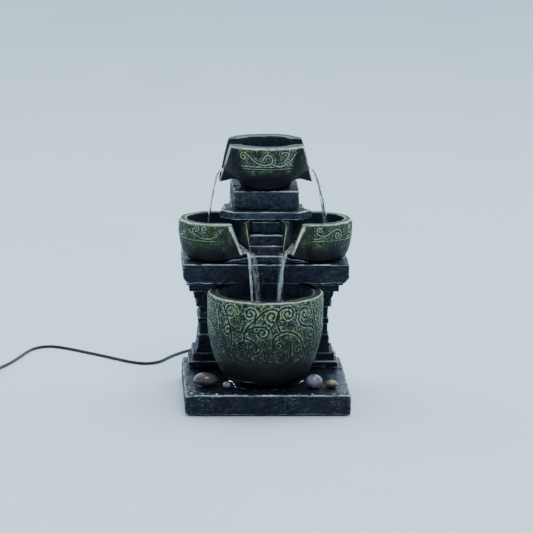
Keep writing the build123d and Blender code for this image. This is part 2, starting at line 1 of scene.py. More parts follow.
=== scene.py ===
import json
import math
from itertools import product
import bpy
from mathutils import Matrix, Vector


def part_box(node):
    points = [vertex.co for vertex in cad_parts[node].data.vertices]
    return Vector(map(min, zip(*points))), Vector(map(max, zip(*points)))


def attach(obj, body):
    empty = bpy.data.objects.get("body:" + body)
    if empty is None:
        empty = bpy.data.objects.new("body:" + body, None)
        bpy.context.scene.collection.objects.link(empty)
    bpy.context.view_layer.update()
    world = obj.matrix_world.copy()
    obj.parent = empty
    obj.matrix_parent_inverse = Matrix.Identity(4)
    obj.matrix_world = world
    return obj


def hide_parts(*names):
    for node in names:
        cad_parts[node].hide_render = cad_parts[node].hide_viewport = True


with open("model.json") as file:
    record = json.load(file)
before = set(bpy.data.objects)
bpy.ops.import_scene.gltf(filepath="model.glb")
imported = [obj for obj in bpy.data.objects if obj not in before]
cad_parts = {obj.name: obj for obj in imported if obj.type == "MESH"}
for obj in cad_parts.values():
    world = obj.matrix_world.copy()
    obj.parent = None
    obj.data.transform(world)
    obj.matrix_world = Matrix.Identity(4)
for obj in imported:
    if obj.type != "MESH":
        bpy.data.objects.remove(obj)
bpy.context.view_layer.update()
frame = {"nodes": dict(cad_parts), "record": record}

from types import SimpleNamespace as Shape

import bpy
import numpy as np
from mathutils import Matrix, Vector
from mathutils.kdtree import KDTree

# Tabletop water fountain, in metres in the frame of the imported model. Shapes that are thought out in
# millimetres are turned into metres by MM.
MM = 0.001
scene = bpy.context.scene


def middle(node):
    """Centre of a CAD node's box."""
    low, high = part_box(node)
    return (low + high) / 2


# ---- camera

slab_low, slab_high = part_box("base_slab")
OBJECT_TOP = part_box("top_bowl")[1].z

CAMERA_AZIMUTH = math.radians(-2.7)
CAMERA_HEIGHT = math.radians(12.0)
CAMERA_ROLL = math.radians(0.6)
CAMERA_DISTANCE = 3.7
CAMERA_LENS = 234.65     # millimetres, before a sensor SENSOR_WIDTH millimetres wide
SENSOR_WIDTH = 36
CAMERA_AIM = Vector((0, slab_low.y + 0.0705, 0.5325 * OBJECT_TOP))


def make_camera():
    """A long lens in front of the fountain, a little to its left and looking slightly down."""
    back = Vector((
        math.sin(CAMERA_AZIMUTH) * math.cos(CAMERA_HEIGHT),
        -math.cos(CAMERA_AZIMUTH) * math.cos(CAMERA_HEIGHT),
        math.sin(CAMERA_HEIGHT),
    ))
    data = bpy.data.cameras.new("camera")
    camera = bpy.data.objects.new("camera", data)
    scene.collection.objects.link(camera)
    data.lens = CAMERA_LENS
    data.sensor_width = SENSOR_WIDTH
    data.clip_start = 0.05
    data.clip_end = 60
    turn = (-back).to_track_quat("-Z", "Y").to_matrix().to_4x4()
    place = Matrix.Translation(CAMERA_AIM + back * CAMERA_DISTANCE)
    camera.matrix_world = place @ turn @ Matrix.Rotation(CAMERA_ROLL, 4, "Z")
    scene.camera = camera


make_camera()


# ---- cord

# The route's points and the coil's measures are in millimetres, COIL_START in degrees.
CORD_D = 3.2 * MM
COIL_CENTRE = (-316.8, 105.5)
COIL_TURNS = 7.4375
COIL_START = -25.0
COIL_RINGS = (21.1, 17.7, 14.3)
COIL_LAYERS = (1.65, 4.95, 8.25)
POINTS_PER_TURN = 16
CROSSING = 0.75          # share of a turn after which the lead crosses to the next ring

lead_route = [
    (-30, 79, 116), (-30, 101, 116), (-30.5, 122, 107), (-31, 134, 86),
    (-32.5, 139, 60), (-34.5, 142.5, 34), (-37, 152, 11), (-40, 173, 1.7), (-44, 194, 1.7),
    (-52, 211, 1.7), (-71, 214, 1.7), (-86, 197, 1.7), (-100, 175, 1.7),
    (-110, 152, 1.7), (-126, 142.5, 1.7), (-143, 151, 1.7), (-165, 173, 1.7),
    (-191, 197, 1.7), (-218, 221, 1.7), (-237, 230, 1.7), (-253, 218, 1.7),
    (-262, 195, 1.7), (-270, 168, 1.7), (-279, 143, 1.7), (-291, 119, 1.7),
]
tail_route = [(-335.6, 112, 8.4), (-336.4, 119, 8.2), (-336, 130, 5.0), (-333, 139, 3.6), (-328, 148, 3.6)]


def coil_points():
    """The turns, wound clockwise from the outside in, then back out and up, a layer at a time."""
    points = []
    steps = round(COIL_TURNS * POINTS_PER_TURN)
    rings = len(COIL_RINGS)
    for i in range(steps + 1):
        turn = i / POINTS_PER_TURN
        layer = min(int(turn / rings), len(COIL_LAYERS) - 1)
        along = turn - layer * rings
        ring = int(min(along, rings - 0.001))
        share = min(along - ring, 1.0)
        order = list(range(rings)) if layer % 2 == 0 else list(reversed(range(rings)))
        ahead = order[min(ring + 1, rings - 1)]
        step = max(0.0, (share - CROSSING) / (1 - CROSSING))
        radius = COIL_RINGS[order[ring]] + (COIL_RINGS[ahead] - COIL_RINGS[order[ring]]) * step
        height = COIL_LAYERS[layer]
        if ring == rings - 1 and layer + 1 < len(COIL_LAYERS):
            height += (COIL_LAYERS[layer + 1] - height) * step
        angle = math.radians(COIL_START) - 2 * math.pi * turn
        points.append((
            COIL_CENTRE[0] + radius * math.cos(angle),
            COIL_CENTRE[1] + radius * math.sin(angle),
            height,
        ))
    return points


def make_cord():
    """The whole lead as one smooth line, from the grommet through the coil to the plug."""
    curve = bpy.data.curves.new("power_cord", "CURVE")
    curve.dimensions = "3D"
    spline = curve.splines.new("NURBS")
    points = lead_route + coil_points() + tail_route
    spline.points.add(len(points) - 1)
    for place, point in zip(spline.points, points):
        place.co = (point[0] * MM, point[1] * MM, point[2] * MM, 1)
        place.radius = CORD_D / 2
    spline.order_u = 3
    spline.use_endpoint_u = True
    spline.resolution_u = 6
    curve.bevel_depth = 1.0
    curve.bevel_resolution = 5
    curve.use_fill_caps = True
    cord = bpy.data.objects.new("power_cord", curve)
    scene.collection.objects.link(cord)
    return cord


cord = make_cord()
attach(cord, "root")
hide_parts("power_lead", "power_lead_coil", "power_lead_tail")


# ---- mesh tools

def add_object(name, mesh):
    """A new object for a mesh, at the origin."""
    piece = bpy.data.objects.new(name, mesh)
    scene.collection.objects.link(piece)
    return piece


def remeshed(node, name, voxel):
    """A copy of a CAD node with even faces about voxel millimetres across, ready to be carved."""
    source = add_object("source", frame["nodes"][node].data.copy())
    modifier = source.modifiers.new("voxels", "REMESH")
    modifier.mode = "VOXEL"
    modifier.voxel_size = voxel * MM
    view = bpy.context.evaluated_depsgraph_get()
    mesh = bpy.data.meshes.new_from_object(source.evaluated_get(view))
    bpy.data.objects.remove(source)
    mesh.name = name
    mesh.materials.clear()
    return add_object(name, mesh)


def mesh_arrays(mesh):
    """Points, normals and edges of a mesh."""
    def read(items, key, width, kind):
        values = np.empty(len(items) * width, kind)
        items.foreach_get(key, values)
        return values.reshape(-1, width)

    points = read(mesh.vertices, "co", 3, np.float32).astype(float)
    normals = read(mesh.vertices, "normal", 3, np.float32).astype(float)
    return points, normals, read(mesh.edges, "vertices", 2, np.int32)


def put_points(mesh, points):
    """Moves a mesh's points."""
    mesh.vertices.foreach_set("co", points.astype(np.float32).ravel())
    mesh.update()


def paint(mesh, name, values):
    """Stores one number per point for the materials to read."""
    attribute = mesh.attributes.new(name, "FLOAT", "POINT")
    attribute.data.foreach_set("value", np.clip(values, 0, 1).astype(np.float32))


def relaxed(values, edges, rounds):
    """Values averaged with their neighbours' along the edges, a number of times."""
    flat = values.reshape(len(values), -1)
    first, second = edges[:, 0], edges[:, 1]
    count = np.bincount(edges.ravel(), minlength=len(flat))[:, None] + 1.0
    for _ in range(rounds):
        total = flat.copy()
        for column in range(flat.shape[1]):
            total[:, column] += np.bincount(first, flat[second, column], len(flat))
            total[:, column] += np.bincount(second, flat[first, column], len(flat))
        flat = total / count
    return flat.reshape(values.shape)


def ease(low, high, values):
    """0 below low, 1 above high and an even curve between."""
    share = np.clip((values - low) / (high - low), 0, 1)
    return share * share * (3 - 2 * share)


def lattice_random(cells, seed):
    """Seeded numbers from 0 to 1 for whole-number lattice cells, by folding large odd factors."""
    n = cells[:, 0] * 73856093 ^ cells[:, 1] * 19349663 ^ cells[:, 2] * 83492791 ^ (seed * 2654435761)
    n = (n ^ (n >> 13)) * 1274126177 & 0xFFFFFFFF
    n = (n ^ (n >> 16)) * 2246822519 & 0xFFFFFFFF
    return ((n ^ (n >> 15)) & 0xFFFFFF) / 0xFFFFFF


def noise(points, size, seed):
    """Smooth noise from -1 to 1 with features about size across; size is one number or one per axis."""
    place = points / size
    base = np.floor(place).astype(np.int64)
    part = place - base
    part = part * part * (3 - 2 * part)
    total = np.zeros(len(points))
    for corner in product((0, 1), repeat=3):
        weight = np.prod(np.where(corner, part, 1 - part), axis=1)
        total += weight * lattice_random(base + corner, seed)
    return 2 * total - 1


def chips(points, size, seed):
    """Heights, about -1 to 1, of tilted flat chips: each cell has its own level and slope."""
    place = points / size
    base = np.floor(place).astype(np.int64)
    nearest = np.full(len(points), 9.0)
    cell = base.copy()
    centre = place.copy()
    for shift in product((-1, 0, 1), repeat=3):
        trial = base + shift
        middle_of_trial = trial + np.stack([lattice_random(trial, seed + k) for k in range(3)], axis=1)
        distance = ((place - middle_of_trial) ** 2).sum(axis=1)
        closer = distance < nearest
        nearest = np.where(closer, distance, nearest)
        cell[closer] = trial[closer]
        centre[closer] = middle_of_trial[closer]
    level = lattice_random(cell, seed + 3) - 0.5
    slope = np.stack([lattice_random(cell, seed + 4 + k) - 0.5 for k in range(3)], axis=1)
    return level + 1.6 * ((place - centre) * slope).sum(axis=1)


def bulge_of(points, normals, edges, rounds):
    """How far each point stands out of its surroundings, in millimetres: over 0 on ridges and edges."""
    return ((points - relaxed(points, edges, rounds)) * normals).sum(axis=1) / MM


def softened(normals, edges):
    """Normals averaged with their neighbours', one long again."""
    normals = relaxed(normals, edges, 2)
    return normals / (np.linalg.norm(normals, axis=1)[:, None] + 1e-9)


# ---- material tools

def new_material(name):
    """A node material, its tree and its shader."""
    material = bpy.data.materials.new(name)
    material.use_nodes = True
    return material, material.node_tree, material.node_tree.nodes["Principled BSDF"]


def feed(tree, made, inputs):
    """Sets sockets, by name or number, to values, colours or other nodes' outputs."""
    for key, value in inputs.items():
        socket = made.inputs[key]
        if isinstance(value, bpy.types.NodeSocket):
            tree.links.new(value, socket)
        elif socket.type == "RGBA":
            socket.default_value = (*value, 1)
        else:
            socket.default_value = value


def node(tree, kind, inputs=None, **settings):
    """Adds a node with its sockets fed."""
    made = tree.nodes.new(kind)
    for key, value in settings.items():
        setattr(made, key, value)
    feed(tree, made, inputs or {})
    return made


def places(tree):
    """Coordinates that stay with the piece."""
    return node(tree, "ShaderNodeTexCoord").outputs["Object"]


def grain(tree, size, detail, roughness, stretch=None, distortion=0.0):
    """Noise from 0 to 1 with features about size metres across, and stretch times that along each axis."""
    vector = places(tree)
    if stretch:
        scale = [1 / s for s in stretch]
        vector = node(tree, "ShaderNodeMapping", {"Vector": vector, "Scale": scale}).outputs[0]
    return node(tree, "ShaderNodeTexNoise", {
        "Vector": vector, "Scale": 1 / size, "Detail": detail, "Roughness": roughness,
        "Distortion": distortion,
    }).outputs[0]


def ramp(tree, factor, *stops):
    """Colours or grey levels along a factor; each stop is (place, colour or level)."""
    made = node(tree, "ShaderNodeValToRGB", {"Fac": factor})
    elements = made.color_ramp.elements
    while len(elements) < len(stops):
        elements.new(0.5)
    for element, (place, colour) in zip(elements, stops):
        element.position = place
        element.color = (*colour, 1) if isinstance(colour, tuple) else (colour, colour, colour, 1)
    return made.outputs["Color"]


def mixed(tree, factor, first, second):
    """Two colours mixed by a factor."""
    return node(tree, "ShaderNodeMix", {0: factor, 6: first, 7: second}, data_type="RGBA").outputs[2]


def times(tree, first, second):
    """Two numbers multiplied, kept from 0 to 1."""
    made = node(tree, "ShaderNodeMath", {0: first, 1: second}, operation="MULTIPLY", use_clamp=True)
    return made.outputs[0]


def painted(tree, name):
    """The number that paint() stored under a name."""
    return node(tree, "ShaderNodeAttribute", attribute_name=name).outputs["Fac"]


def bump(tree, shader, height, depth):
    """Fine relief on a shader, depth metres at most."""
    made = node(tree, "ShaderNodeBump", {"Height": height, "Distance": depth, "Strength": 1.0})
    feed(tree, shader, {"Normal": made.outputs[0]})


# ---- stone castings

def slate_material():
    """Dark chiselled slate, flecked and dry-brushed lavender-blue along its edges, with a bluish-white
    painted highlight along its upper edges; wet and glossy on top, darkened there in patches, partly as wet
    stone and partly as painted shade.
    """
    material, tree, shader = new_material("dry_brushed_slate")
    patches = grain(tree, 0.030, 3, 0.5)
    mottling = grain(tree, 0.005, 5, 0.7)
    strokes = grain(tree, 0.0022, 3, 0.6, stretch=(5, 5, 1))
    flecks = grain(tree, 0.0026, 4, 0.75)
    base = ramp(tree, patches, (0.34, NAVY), (0.47, SLATE), (0.54, UMBER), (0.62, TEAL))
    base = mixed(tree, ramp(tree, mottling, (0.38, 0.85), (0.58, 0.0)), base, SOOT)
    base = mixed(tree, ramp(tree, strokes, (0.54, 0.0), (0.68, 0.42)), base, DULL_BLUE)
    flecked = ramp(tree, patches, (0.46, 0.0), (0.60, 1.0))
    flecks = times(tree, flecked, ramp(tree, flecks, (0.57, 0.0), (0.65, 0.62)))
    base = mixed(tree, flecks, base, PINK_FLECK)
    blotches = ramp(tree, grain(tree, 0.0045, 5, 0.7), (0.44, 0.10), (0.58, 1.0))
    base = mixed(tree, times(tree, painted(tree, "tone"), blotches), base, PALE_BLUE)
    bristles = ramp(tree, grain(tree, 0.0020, 4, 0.7), (0.25, 0.35), (0.55, 1.0))
    brush = times(tree, painted(tree, "worn"), bristles)
    colour = mixed(tree, ramp(tree, brush, (0.10, 0.0), (0.75, 0.9)), base, PALE_LAVENDER)
    # painted highlight: bluish-white along the upper edges, where light catches them
    colour = mixed(tree, painted(tree, "edge"), colour, HIGHLIGHT_SILVER_BLUE)
    # top faces: glossy where wet, and darkened in patches, partly as wet stone and partly as painted shade
    wetness = ramp(tree, grain(tree, 0.014, 4, 0.6), (0.36, 0.35), (0.56, 1.0))
    damp_and_shade = times(tree, painted(tree, "damp_and_shade"), wetness)
    colour = mixed(tree, times(tree, damp_and_shade, 0.62), colour, WET_AND_SHADED_STONE)
    gloss = mixed(tree, damp_and_shade, ramp(tree, mottling, (0.3, 0.40), (0.7, 0.58)), WET_GLOSS)
    feed(tree, shader, {"Base Color": colour, "Roughness": gloss, "Specular IOR Level": 0.11})
    bump(tree, shader, grain(tree, 0.0022, 5, 0.70), 0.0006)
    return material


NAVY = (0.011, 0.018, 0.034)
SLATE = (0.017, 0.025, 0.038)
UMBER = (0.025, 0.022, 0.033)
TEAL = (0.012, 0.028, 0.031)
SOOT = (0.004, 0.006, 0.011)
DULL_BLUE = (0.060, 0.082, 0.112)
PALE_BLUE = (0.105, 0.130, 0.180)
PINK_FLECK = (0.260, 0.240, 0.260)
PALE_LAVENDER = (0.36, 0.45, 0.60)
# colour of the painted highlight along the upper edges
HIGHLIGHT_SILVER_BLUE = (0.90, 0.95, 1.00)
# wet stone, made darker as painted shade on the top faces
WET_AND_SHADED_STONE = (0.004, 0.007, 0.012)
WET_GLOSS = (0.24, 0.24, 0.24)


def chiselled(node_name, name, voxel, seed, chip, depth=1.0, grooves=(), damp_and_shade=0.0, edge_highlight=1.0,
              wavy=1.0, tone=0.0):
    """Replaces a stone casting with a copy whose faces are chipped, whose edges are worn and ragged.

    chip is the size of the chips and grooves lists the heights of joints between courses that are cut
    deeper, in millimetres. depth scales how deep the chips are, damp is how wet the top faces are,
    which makes them glossy and darkens them in patches, partly as wet stone and partly as painted
    shade, silver how bright the painted highlight along the upper edges is, wavy how ragged the edges
    are and tone how pale the stone is blotched.
    """
    def rough(size, step):
        """Noise over the piece; step keeps its uses of the seed apart."""
        return noise(local, size, seed + step)

    piece = remeshed(node_name, name, voxel)
    mesh = piece.data
    points, normals, edges = mesh_arrays(mesh)
    normals = softened(normals, edges)
    local = points / MM
    standing = bulge_of(points, normals, edges, 5)
    corner = ease(0.0, 0.5, standing)
    up = normals[:, 2]
    # upper edges, and more weakly lower edges, which carry the painted highlight
    upper = ease(0.16, 0.38, up) * (1 - ease(0.92, 0.98, up))
    upper += 0.35 * ease(0.30, 0.50, -up) * (1 - ease(0.90, 0.97, -up))
    cut = 0.60 + 0.45 * chips(local, (1.7 * chip, 1.7 * chip, chip), seed) + 0.40 * rough(20, 11)
    cut += 0.65 * np.abs(rough((9, 9, 3.2), 12)) + 0.30 * rough(2.6, 13)
    ragged = 1.9 * np.clip(rough(9, 14), 0, 1)
    ragged += 0.8 * np.clip(rough(4, 19), 0, 1)
    cut += corner * (0.20 + wavy * ragged)
    cut = np.maximum(cut, 0) * depth
    for height in grooves:
        wander = local[:, 2] - height - 1.1 * rough(14, 15)
        gap = 0.45 + 0.55 * ease(-0.35, 0.15, rough((11, 11, 4), 16))
        cut += 1.5 * gap * np.exp(-(wander / 0.9) ** 2)
    put_points(mesh, points - normals * cut[:, None] * MM)
    points, normals, edges = mesh_arrays(mesh)
    local = points / MM
    worn = ease(0.06, 0.30, bulge_of(points, normals, edges, 2)) * (0.12 + 0.5 * corner)
    worn += 0.9 * corner * ease(0.12, 0.8, bulge_of(points, normals, edges, 10))
    worn *= 0.45 + 0.55 * ease(-0.25, 0.35, rough(9, 17))
    streak = 0.35 + 0.65 * ease(-0.45, 0.10, rough((13, 13, 5), 18))
    paint(mesh, "worn", worn)
    # painted highlight along the upper edges, broken into streaks
    paint(mesh, "edge", edge_highlight * ease(0.06, 0.30, standing) * upper * streak)
    # top faces: wet and glossy, and darkened in the material partly as painted shade
    paint(mesh, "damp_and_shade", damp_and_shade * ease(0.75, 0.95, up))
    paint(mesh, "tone", np.full(len(points), tone))
    mesh.shade_smooth()
    mesh.materials.append(slate)
    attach(piece, "root")
    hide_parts(node_name)


slate = slate_material()
COURSES = 11
JOINT_DROP = 0.5         # millimetres that each joint's deepest line lies under the course's edge
tower_low, tower_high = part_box("lower_tower")
course_pitch = (tower_high.z - tower_low.z) / COURSES
course_joints = [(tower_low.z + course_pitch * i) / MM - JOINT_DROP for i in range(1, COURSES)]
chiselled("base_slab", "slab_stone", 1.2, 21, chip=12, depth=0.9, damp_and_shade=1.0, wavy=2.0)
chiselled("lower_tower", "tower_courses", 1.15, 37, chip=8, grooves=course_joints, edge_highlight=0.6)
chiselled("ledge_slab", "ledge_stone", 1.1, 53, chip=11, depth=0.9, damp_and_shade=0.6, edge_highlight=0.9, wavy=1.6, tone=0.08)
chiselled("upper_tower", "stair_courses", 1.05, 71, chip=7, depth=0.6, edge_highlight=0.95, tone=0.26)
chiselled("top_plinth", "plinth_stone", 0.9, 97, chip=8, depth=1.2, edge_highlight=0.9, tone=0.36)


# ---- carving

def stem(*numbers):
    """A vine along a Bezier curve; numbers lists x, z of its control points, round the wall and up it."""
    share = np.linspace(0, 1, 60)[:, None]
    layers = list(np.reshape(numbers, (-1, 2)).astype(float))
    while len(layers) > 1:
        layers = [a * (1 - share) + b * share for a, b in zip(layers, layers[1:])]
    return layers[0]


def curl(x, z, radius, start, turns, hand):
    """A spiral wound in from a radius; start is its outer end's angle in degrees, hand its sense."""
    share = np.linspace(0, 1, 70)
    angle = math.radians(start) + hand * 2 * math.pi * turns * share
    reach = radius * (1 - 0.82 * share)
    return np.stack([x + reach * np.cos(angle), z + reach * np.sin(angle)], axis=1)


def repeated(strokes, width, count):
    """Strokes repeated round the wall, width millimetres apart, centred on the front."""
    shifts = [(i - (count - 1) / 2) * width for i in range(count)]
    return [stroke + (shift, 0) for shift in shifts for stroke in strokes]


def distances(strokes, around, height, wanted):
    """Millimetres from points on the wall to the nearest stroke, where wanted; FAR elsewhere."""
    line = np.concatenate(strokes)
    tree = KDTree(len(line))
    for i, (x, z) in enumerate(line):
        tree.insert((x, z, 0), i)
    tree.balance()
    found = np.full(len(around), FAR)
    for i in np.flatnonzero(wanted):
        found[i] = tree.find((around[i], height[i], 0))[2]
    return found


FAR = 99.0               # stands for no stroke nearby
RESERVOIR_VINES = [
    stem(-23, 40, -29, 58, -26, 72, -14, 78), stem(-14, 78, -6, 90, 4, 95, 11, 89),
    curl(4.5, 84, 8, 40, 1.35, -1), curl(-19, 86, 7, -40, 1.3, 1), curl(-5.5, 66, 7, 35, 1.3, -1),
    stem(-14, 78, -13, 81, -13, 83, -14, 85), stem(-24, 66, -17, 74, -6, 74, 0, 70),
    stem(-26, 60, -19, 58, -14, 55, -10, 50), curl(-14, 47.5, 6, 10, 1.25, -1),
    stem(7, 46, 2, 58, 8, 66, 20, 67), stem(20, 67, 34, 66, 40, 56, 47, 40),
    curl(13, 52, 6.5, 120, 1.35, 1), stem(14, 66, 8, 78, 8, 90, 18, 93),
    curl(22, 86, 7.5, 110, 1.4, -1), curl(-42, 86, 8.5, 0, 1.3, 1), curl(-46, 66, 7, 30, 1.4, 1),
    stem(-52, 92, -48, 80, -40, 70, -41, 56), stem(-41, 56, -42, 48, -46, 42, -54, 40),
    curl(43, 84, 8, 200, 1.3, -1), stem(35, 82, 34, 74, 40, 70, 52, 70),
    curl(53, 62, 7, 90, 1.35, -1), curl(36, 46, 5.5, 160, 1.2, 1), curl(-2, 40, 5, 180, 1.2, -1),
    curl(-30, 50, 4.5, 60, 1.2, 1),
    stem(56, 90, 60, 82, 58, 76, 62, 72), stem(-62, 84, -58, 76, -60, 66, -56, 60),
    stem(26, 56, 28, 50, 25, 44, 28, 38), curl(-58, 50, 5, 240, 1.2, 1),
]
LEFT_SCROLL = [
    stem(-34, 36, -26, 31, -18, 27.5, -9, 27.5), stem(-9, 27.5, -4, 28, -1, 30, 1.5, 33),
    curl(-0.5, 31, 2.2, 60, 1.0, 1), curl(-23, 39, 4.0, 250, 1.3, 1), curl(-13.5, 38, 3.7, 290, 1.3, -1),
    stem(-27, 38, -29, 34, -25, 31, -21, 31),
]
RIGHT_SCROLL = [
    stem(-3, 28, 4, 27.5, 9, 30, 16, 35), stem(16, 35, 23, 40, 31, 36, 28.5, 29.5),
    curl(24.0, 31.0, 4.8, 20, 1.3, -1), curl(3, 37, 3.4, 200, 1.25, -1),
    stem(0, 34, 2, 31, 5, 30, 8, 32),
]
TOP_SCROLL = [
    curl(-27, 39.5, 4.6, 60, 1.25, 1), stem(-24, 43, -17, 37, -13, 31, -3, 31),
    stem(-3, 31, 2, 31, 6, 33, 5, 37), stem(5, 37, 3, 44, -4, 43, -5, 36),
    stem(4, 33, 10, 27, 22, 29, 29, 38), curl(21.5, 33, 4.6, 320, 1.4, 1),
    stem(15, 43, 22, 46, 27, 42, 21, 38), stem(29, 38, 33, 43, 36, 44, 40, 42),
    stem(31, 30, 35, 33, 38, 36, 36, 40),
]


LEAF_GAP = 3.0           # millimetres kept clear round a leaf's middle
TRIES_PER_LEAF = 12


def scattered_leaves(strokes, width, low, high, count, seed):
    """Short curved leaf strokes in the spaces that the vines leave."""
    random = np.random.default_rng(seed)
    taken = np.concatenate(strokes)
    leaves = []
    for _ in range(count * TRIES_PER_LEAF):
        x = random.uniform(-width / 2, width / 2)
        z = random.uniform(low, high)
        if np.min(np.hypot(taken[:, 0] - x, taken[:, 1] - z)) < LEAF_GAP:
            continue
        turn = random.uniform(0, 2 * math.pi)
        along = np.array((math.cos(turn), math.sin(turn)))
        across = np.array((-along[1], along[0]))
        size = random.uniform(1.6, 2.6)
        centre = np.array((x, z))
        leaf = stem(*(centre - along * size), *(centre + across * size * 1.1), *(centre + along * size))
        leaves.append(leaf)
        taken = np.concatenate([taken, leaf])
        if len(leaves) == count:
            break
    return leaves


# ---- bowls

def bowl_material():
    """Olive-bronze resin rubbed with pale sage and yellow-green, dark in its carving, dark paint with painted
    shade under its belly and down its lower wall, with a painted highlight along rim, spout cuts and foot and
    painted light inside.
    """
    material, tree, shader = new_material("rubbed_bronze_green")
    patches = grain(tree, 0.016, 3, 0.55)
    crust = grain(tree, 0.0042, 5, 0.72, distortion=0.6)
    speckle = grain(tree, 0.0020, 4, 0.7)
    streaks = grain(tree, 0.0030, 3, 0.6, stretch=(1, 1, 7))
    body = ramp(tree, patches, (0.34, OLIVE), (0.50, SAGE), (0.64, MOSS))
    crusty = painted(tree, "crusty")
    pits = times(tree, crusty, ramp(tree, crust, (0.44, 1.0), (0.58, 0.0)))
    body = mixed(tree, pits, body, BRONZE)
    dust = times(tree, crusty, ramp(tree, crust, (0.56, 0.0), (0.68, 0.85)))
    body = mixed(tree, dust, body, DUSTY_SAGE)
    # the underside: dark paint with painted shade; these colours also carry the painted shade of the lower
    # wall and the dark spout flanks
    belly = mixed(tree, ramp(tree, streaks, (0.46, 0.0), (0.80, 0.7)), BELLY_DARK_PAINT_AND_SHADE, BELLY_BROWN_PAINT_AND_SHADE)
    colour = mixed(tree, painted(tree, "low"), body, belly)
    worn = times(tree, painted(tree, "worn"), ramp(tree, speckle, (0.28, 0.25), (0.58, 1.0)))
    rubbed = ramp(tree, patches, (0.40, PALE_SAGE), (0.64, PALE_YELLOW))
    colour = mixed(tree, ramp(tree, worn, (0.12, 0.0), (0.90, 0.85)), colour, rubbed)
    colour = mixed(tree, painted(tree, "rim"), colour, mixed(tree, crust, RIM_TEAL, RIM_OLIVE))
    colour = mixed(tree, painted(tree, "groove"), colour, DARK_GROOVE)
    # painted light inside, strongest in the reservoir, which lies in the ledge's shadow
    painted_inside_light = times(tree, painted(tree, "pale"), ramp(tree, streaks, (0.30, 0.4), (0.70, 1.0)))
    colour = mixed(tree, painted(tree, "inside"), colour, mixed(tree, painted_inside_light, WET_NAVY, WET_SLATE_PAINTED_LIGHT))
    # painted highlight: near-white lines along the rim, the spout cuts and the foot
    colour = mixed(tree, painted(tree, "line"), colour, mixed(tree, patches, CREAM_HIGHLIGHT, GREEN_HIGHLIGHT))
    gloss = ramp(tree, speckle, (0.3, 0.40), (0.7, 0.58))
    feed(tree, shader, {"Base Color": colour, "Roughness": gloss, "Specular IOR Level": 0.10})
    bump(tree, shader, grain(tree, 0.0016, 5, 0.70), 0.0004)
    return material


OLIVE = (0.034, 0.050, 0.022)
SAGE = (0.055, 0.080, 0.062)
MOSS = (0.064, 0.088, 0.020)
BRONZE = (0.012, 0.018, 0.010)
DUSTY_SAGE = (0.33, 0.42, 0.32)
# underside colours: dark paint with painted shade
BELLY_DARK_PAINT_AND_SHADE = (0.010, 0.011, 0.014)
BELLY_BROWN_PAINT_AND_SHADE = (0.026, 0.023, 0.022)
PALE_SAGE = (0.42, 0.52, 0.44)
PALE_YELLOW = (0.46, 0.55, 0.30)
RIM_TEAL = (0.026, 0.043, 0.047)
RIM_OLIVE = (0.062, 0.084, 0.064)
# colours of the painted highlight
CREAM_HIGHLIGHT = (0.86, 0.94, 0.84)
GREEN_HIGHLIGHT = (0.74, 0.88, 0.56)
DARK_GROOVE = (0.006, 0.010, 0.007)
WET_NAVY = (0.012, 0.018, 0.032)
# lighter inside colour, for the painted light
WET_SLATE_PAINTED_LIGHT = (0.130, 0.185, 0.265)


def around_the_turn(angle, middle_angle):
    """How far angles are from another one, in radians."""
    return np.abs((angle - math.radians(middle_angle) + math.pi) % (2 * math.pi) - math.pi)


def spout_lines(shape, local, normals, edges):
    """Where the sloping cut of each spout's walls is: its face and its edge line, which carry a painted
    highlight, and its dark flanks.
    """
    face = np.zeros(len(local))
    line = np.zeros(len(local))
    flank = np.zeros(len(local))
    if not shape.spouts:
        return face, line, flank
    cut = shape.cut
    start = np.array((cut.notch, shape.height))
    slope = np.array((cut.tip, cut.tip_z)) - start
    slope /= np.linalg.norm(slope)
    outward = np.array((-slope[1], slope[0]))
    for spout_angle in shape.spouts:
        turn = math.radians(spout_angle)
        ahead = np.array((math.sin(turn), -math.cos(turn)))
        aside = np.array((math.cos(turn), math.sin(turn)))
        along, across = local[:, :2] @ ahead, local[:, :2] @ aside
        facing = (normals[:, :2] @ ahead) * outward[0] + normals[:, 2] * outward[1]
        depth = np.abs((along - start[0]) * outward[0] + (local[:, 2] - start[1]) * outward[1])
        near = ease(cut.notch - 5, cut.notch - 1, along) * (local[:, 2] > cut.tip_z - 1)
        # the cut face and a band along its outer edge carry a painted highlight
        face = np.maximum(face, near * ease(0.72, 0.92, facing) * (depth < 1.6))
        outside = ease(0.35, 0.62, (normals[:, :2] @ aside) * np.sign(across))
        band = 1 - ease(cut.band, cut.band + 0.8, depth)
        line = np.maximum(line, near * band * outside)
        spread = cut.dark[0] + (cut.dark[1] - cut.dark[0]) * (local[:, 2] / shape.height)
        dark = ease(spread - 2, spread + 3, along) * (np.abs(across) < shape.rim)
        flank = np.maximum(flank, dark)
    face *= 0.12 + 0.88 * ease(0.02, 0.20, relaxed(line, edges, 5))
    return face, line, flank


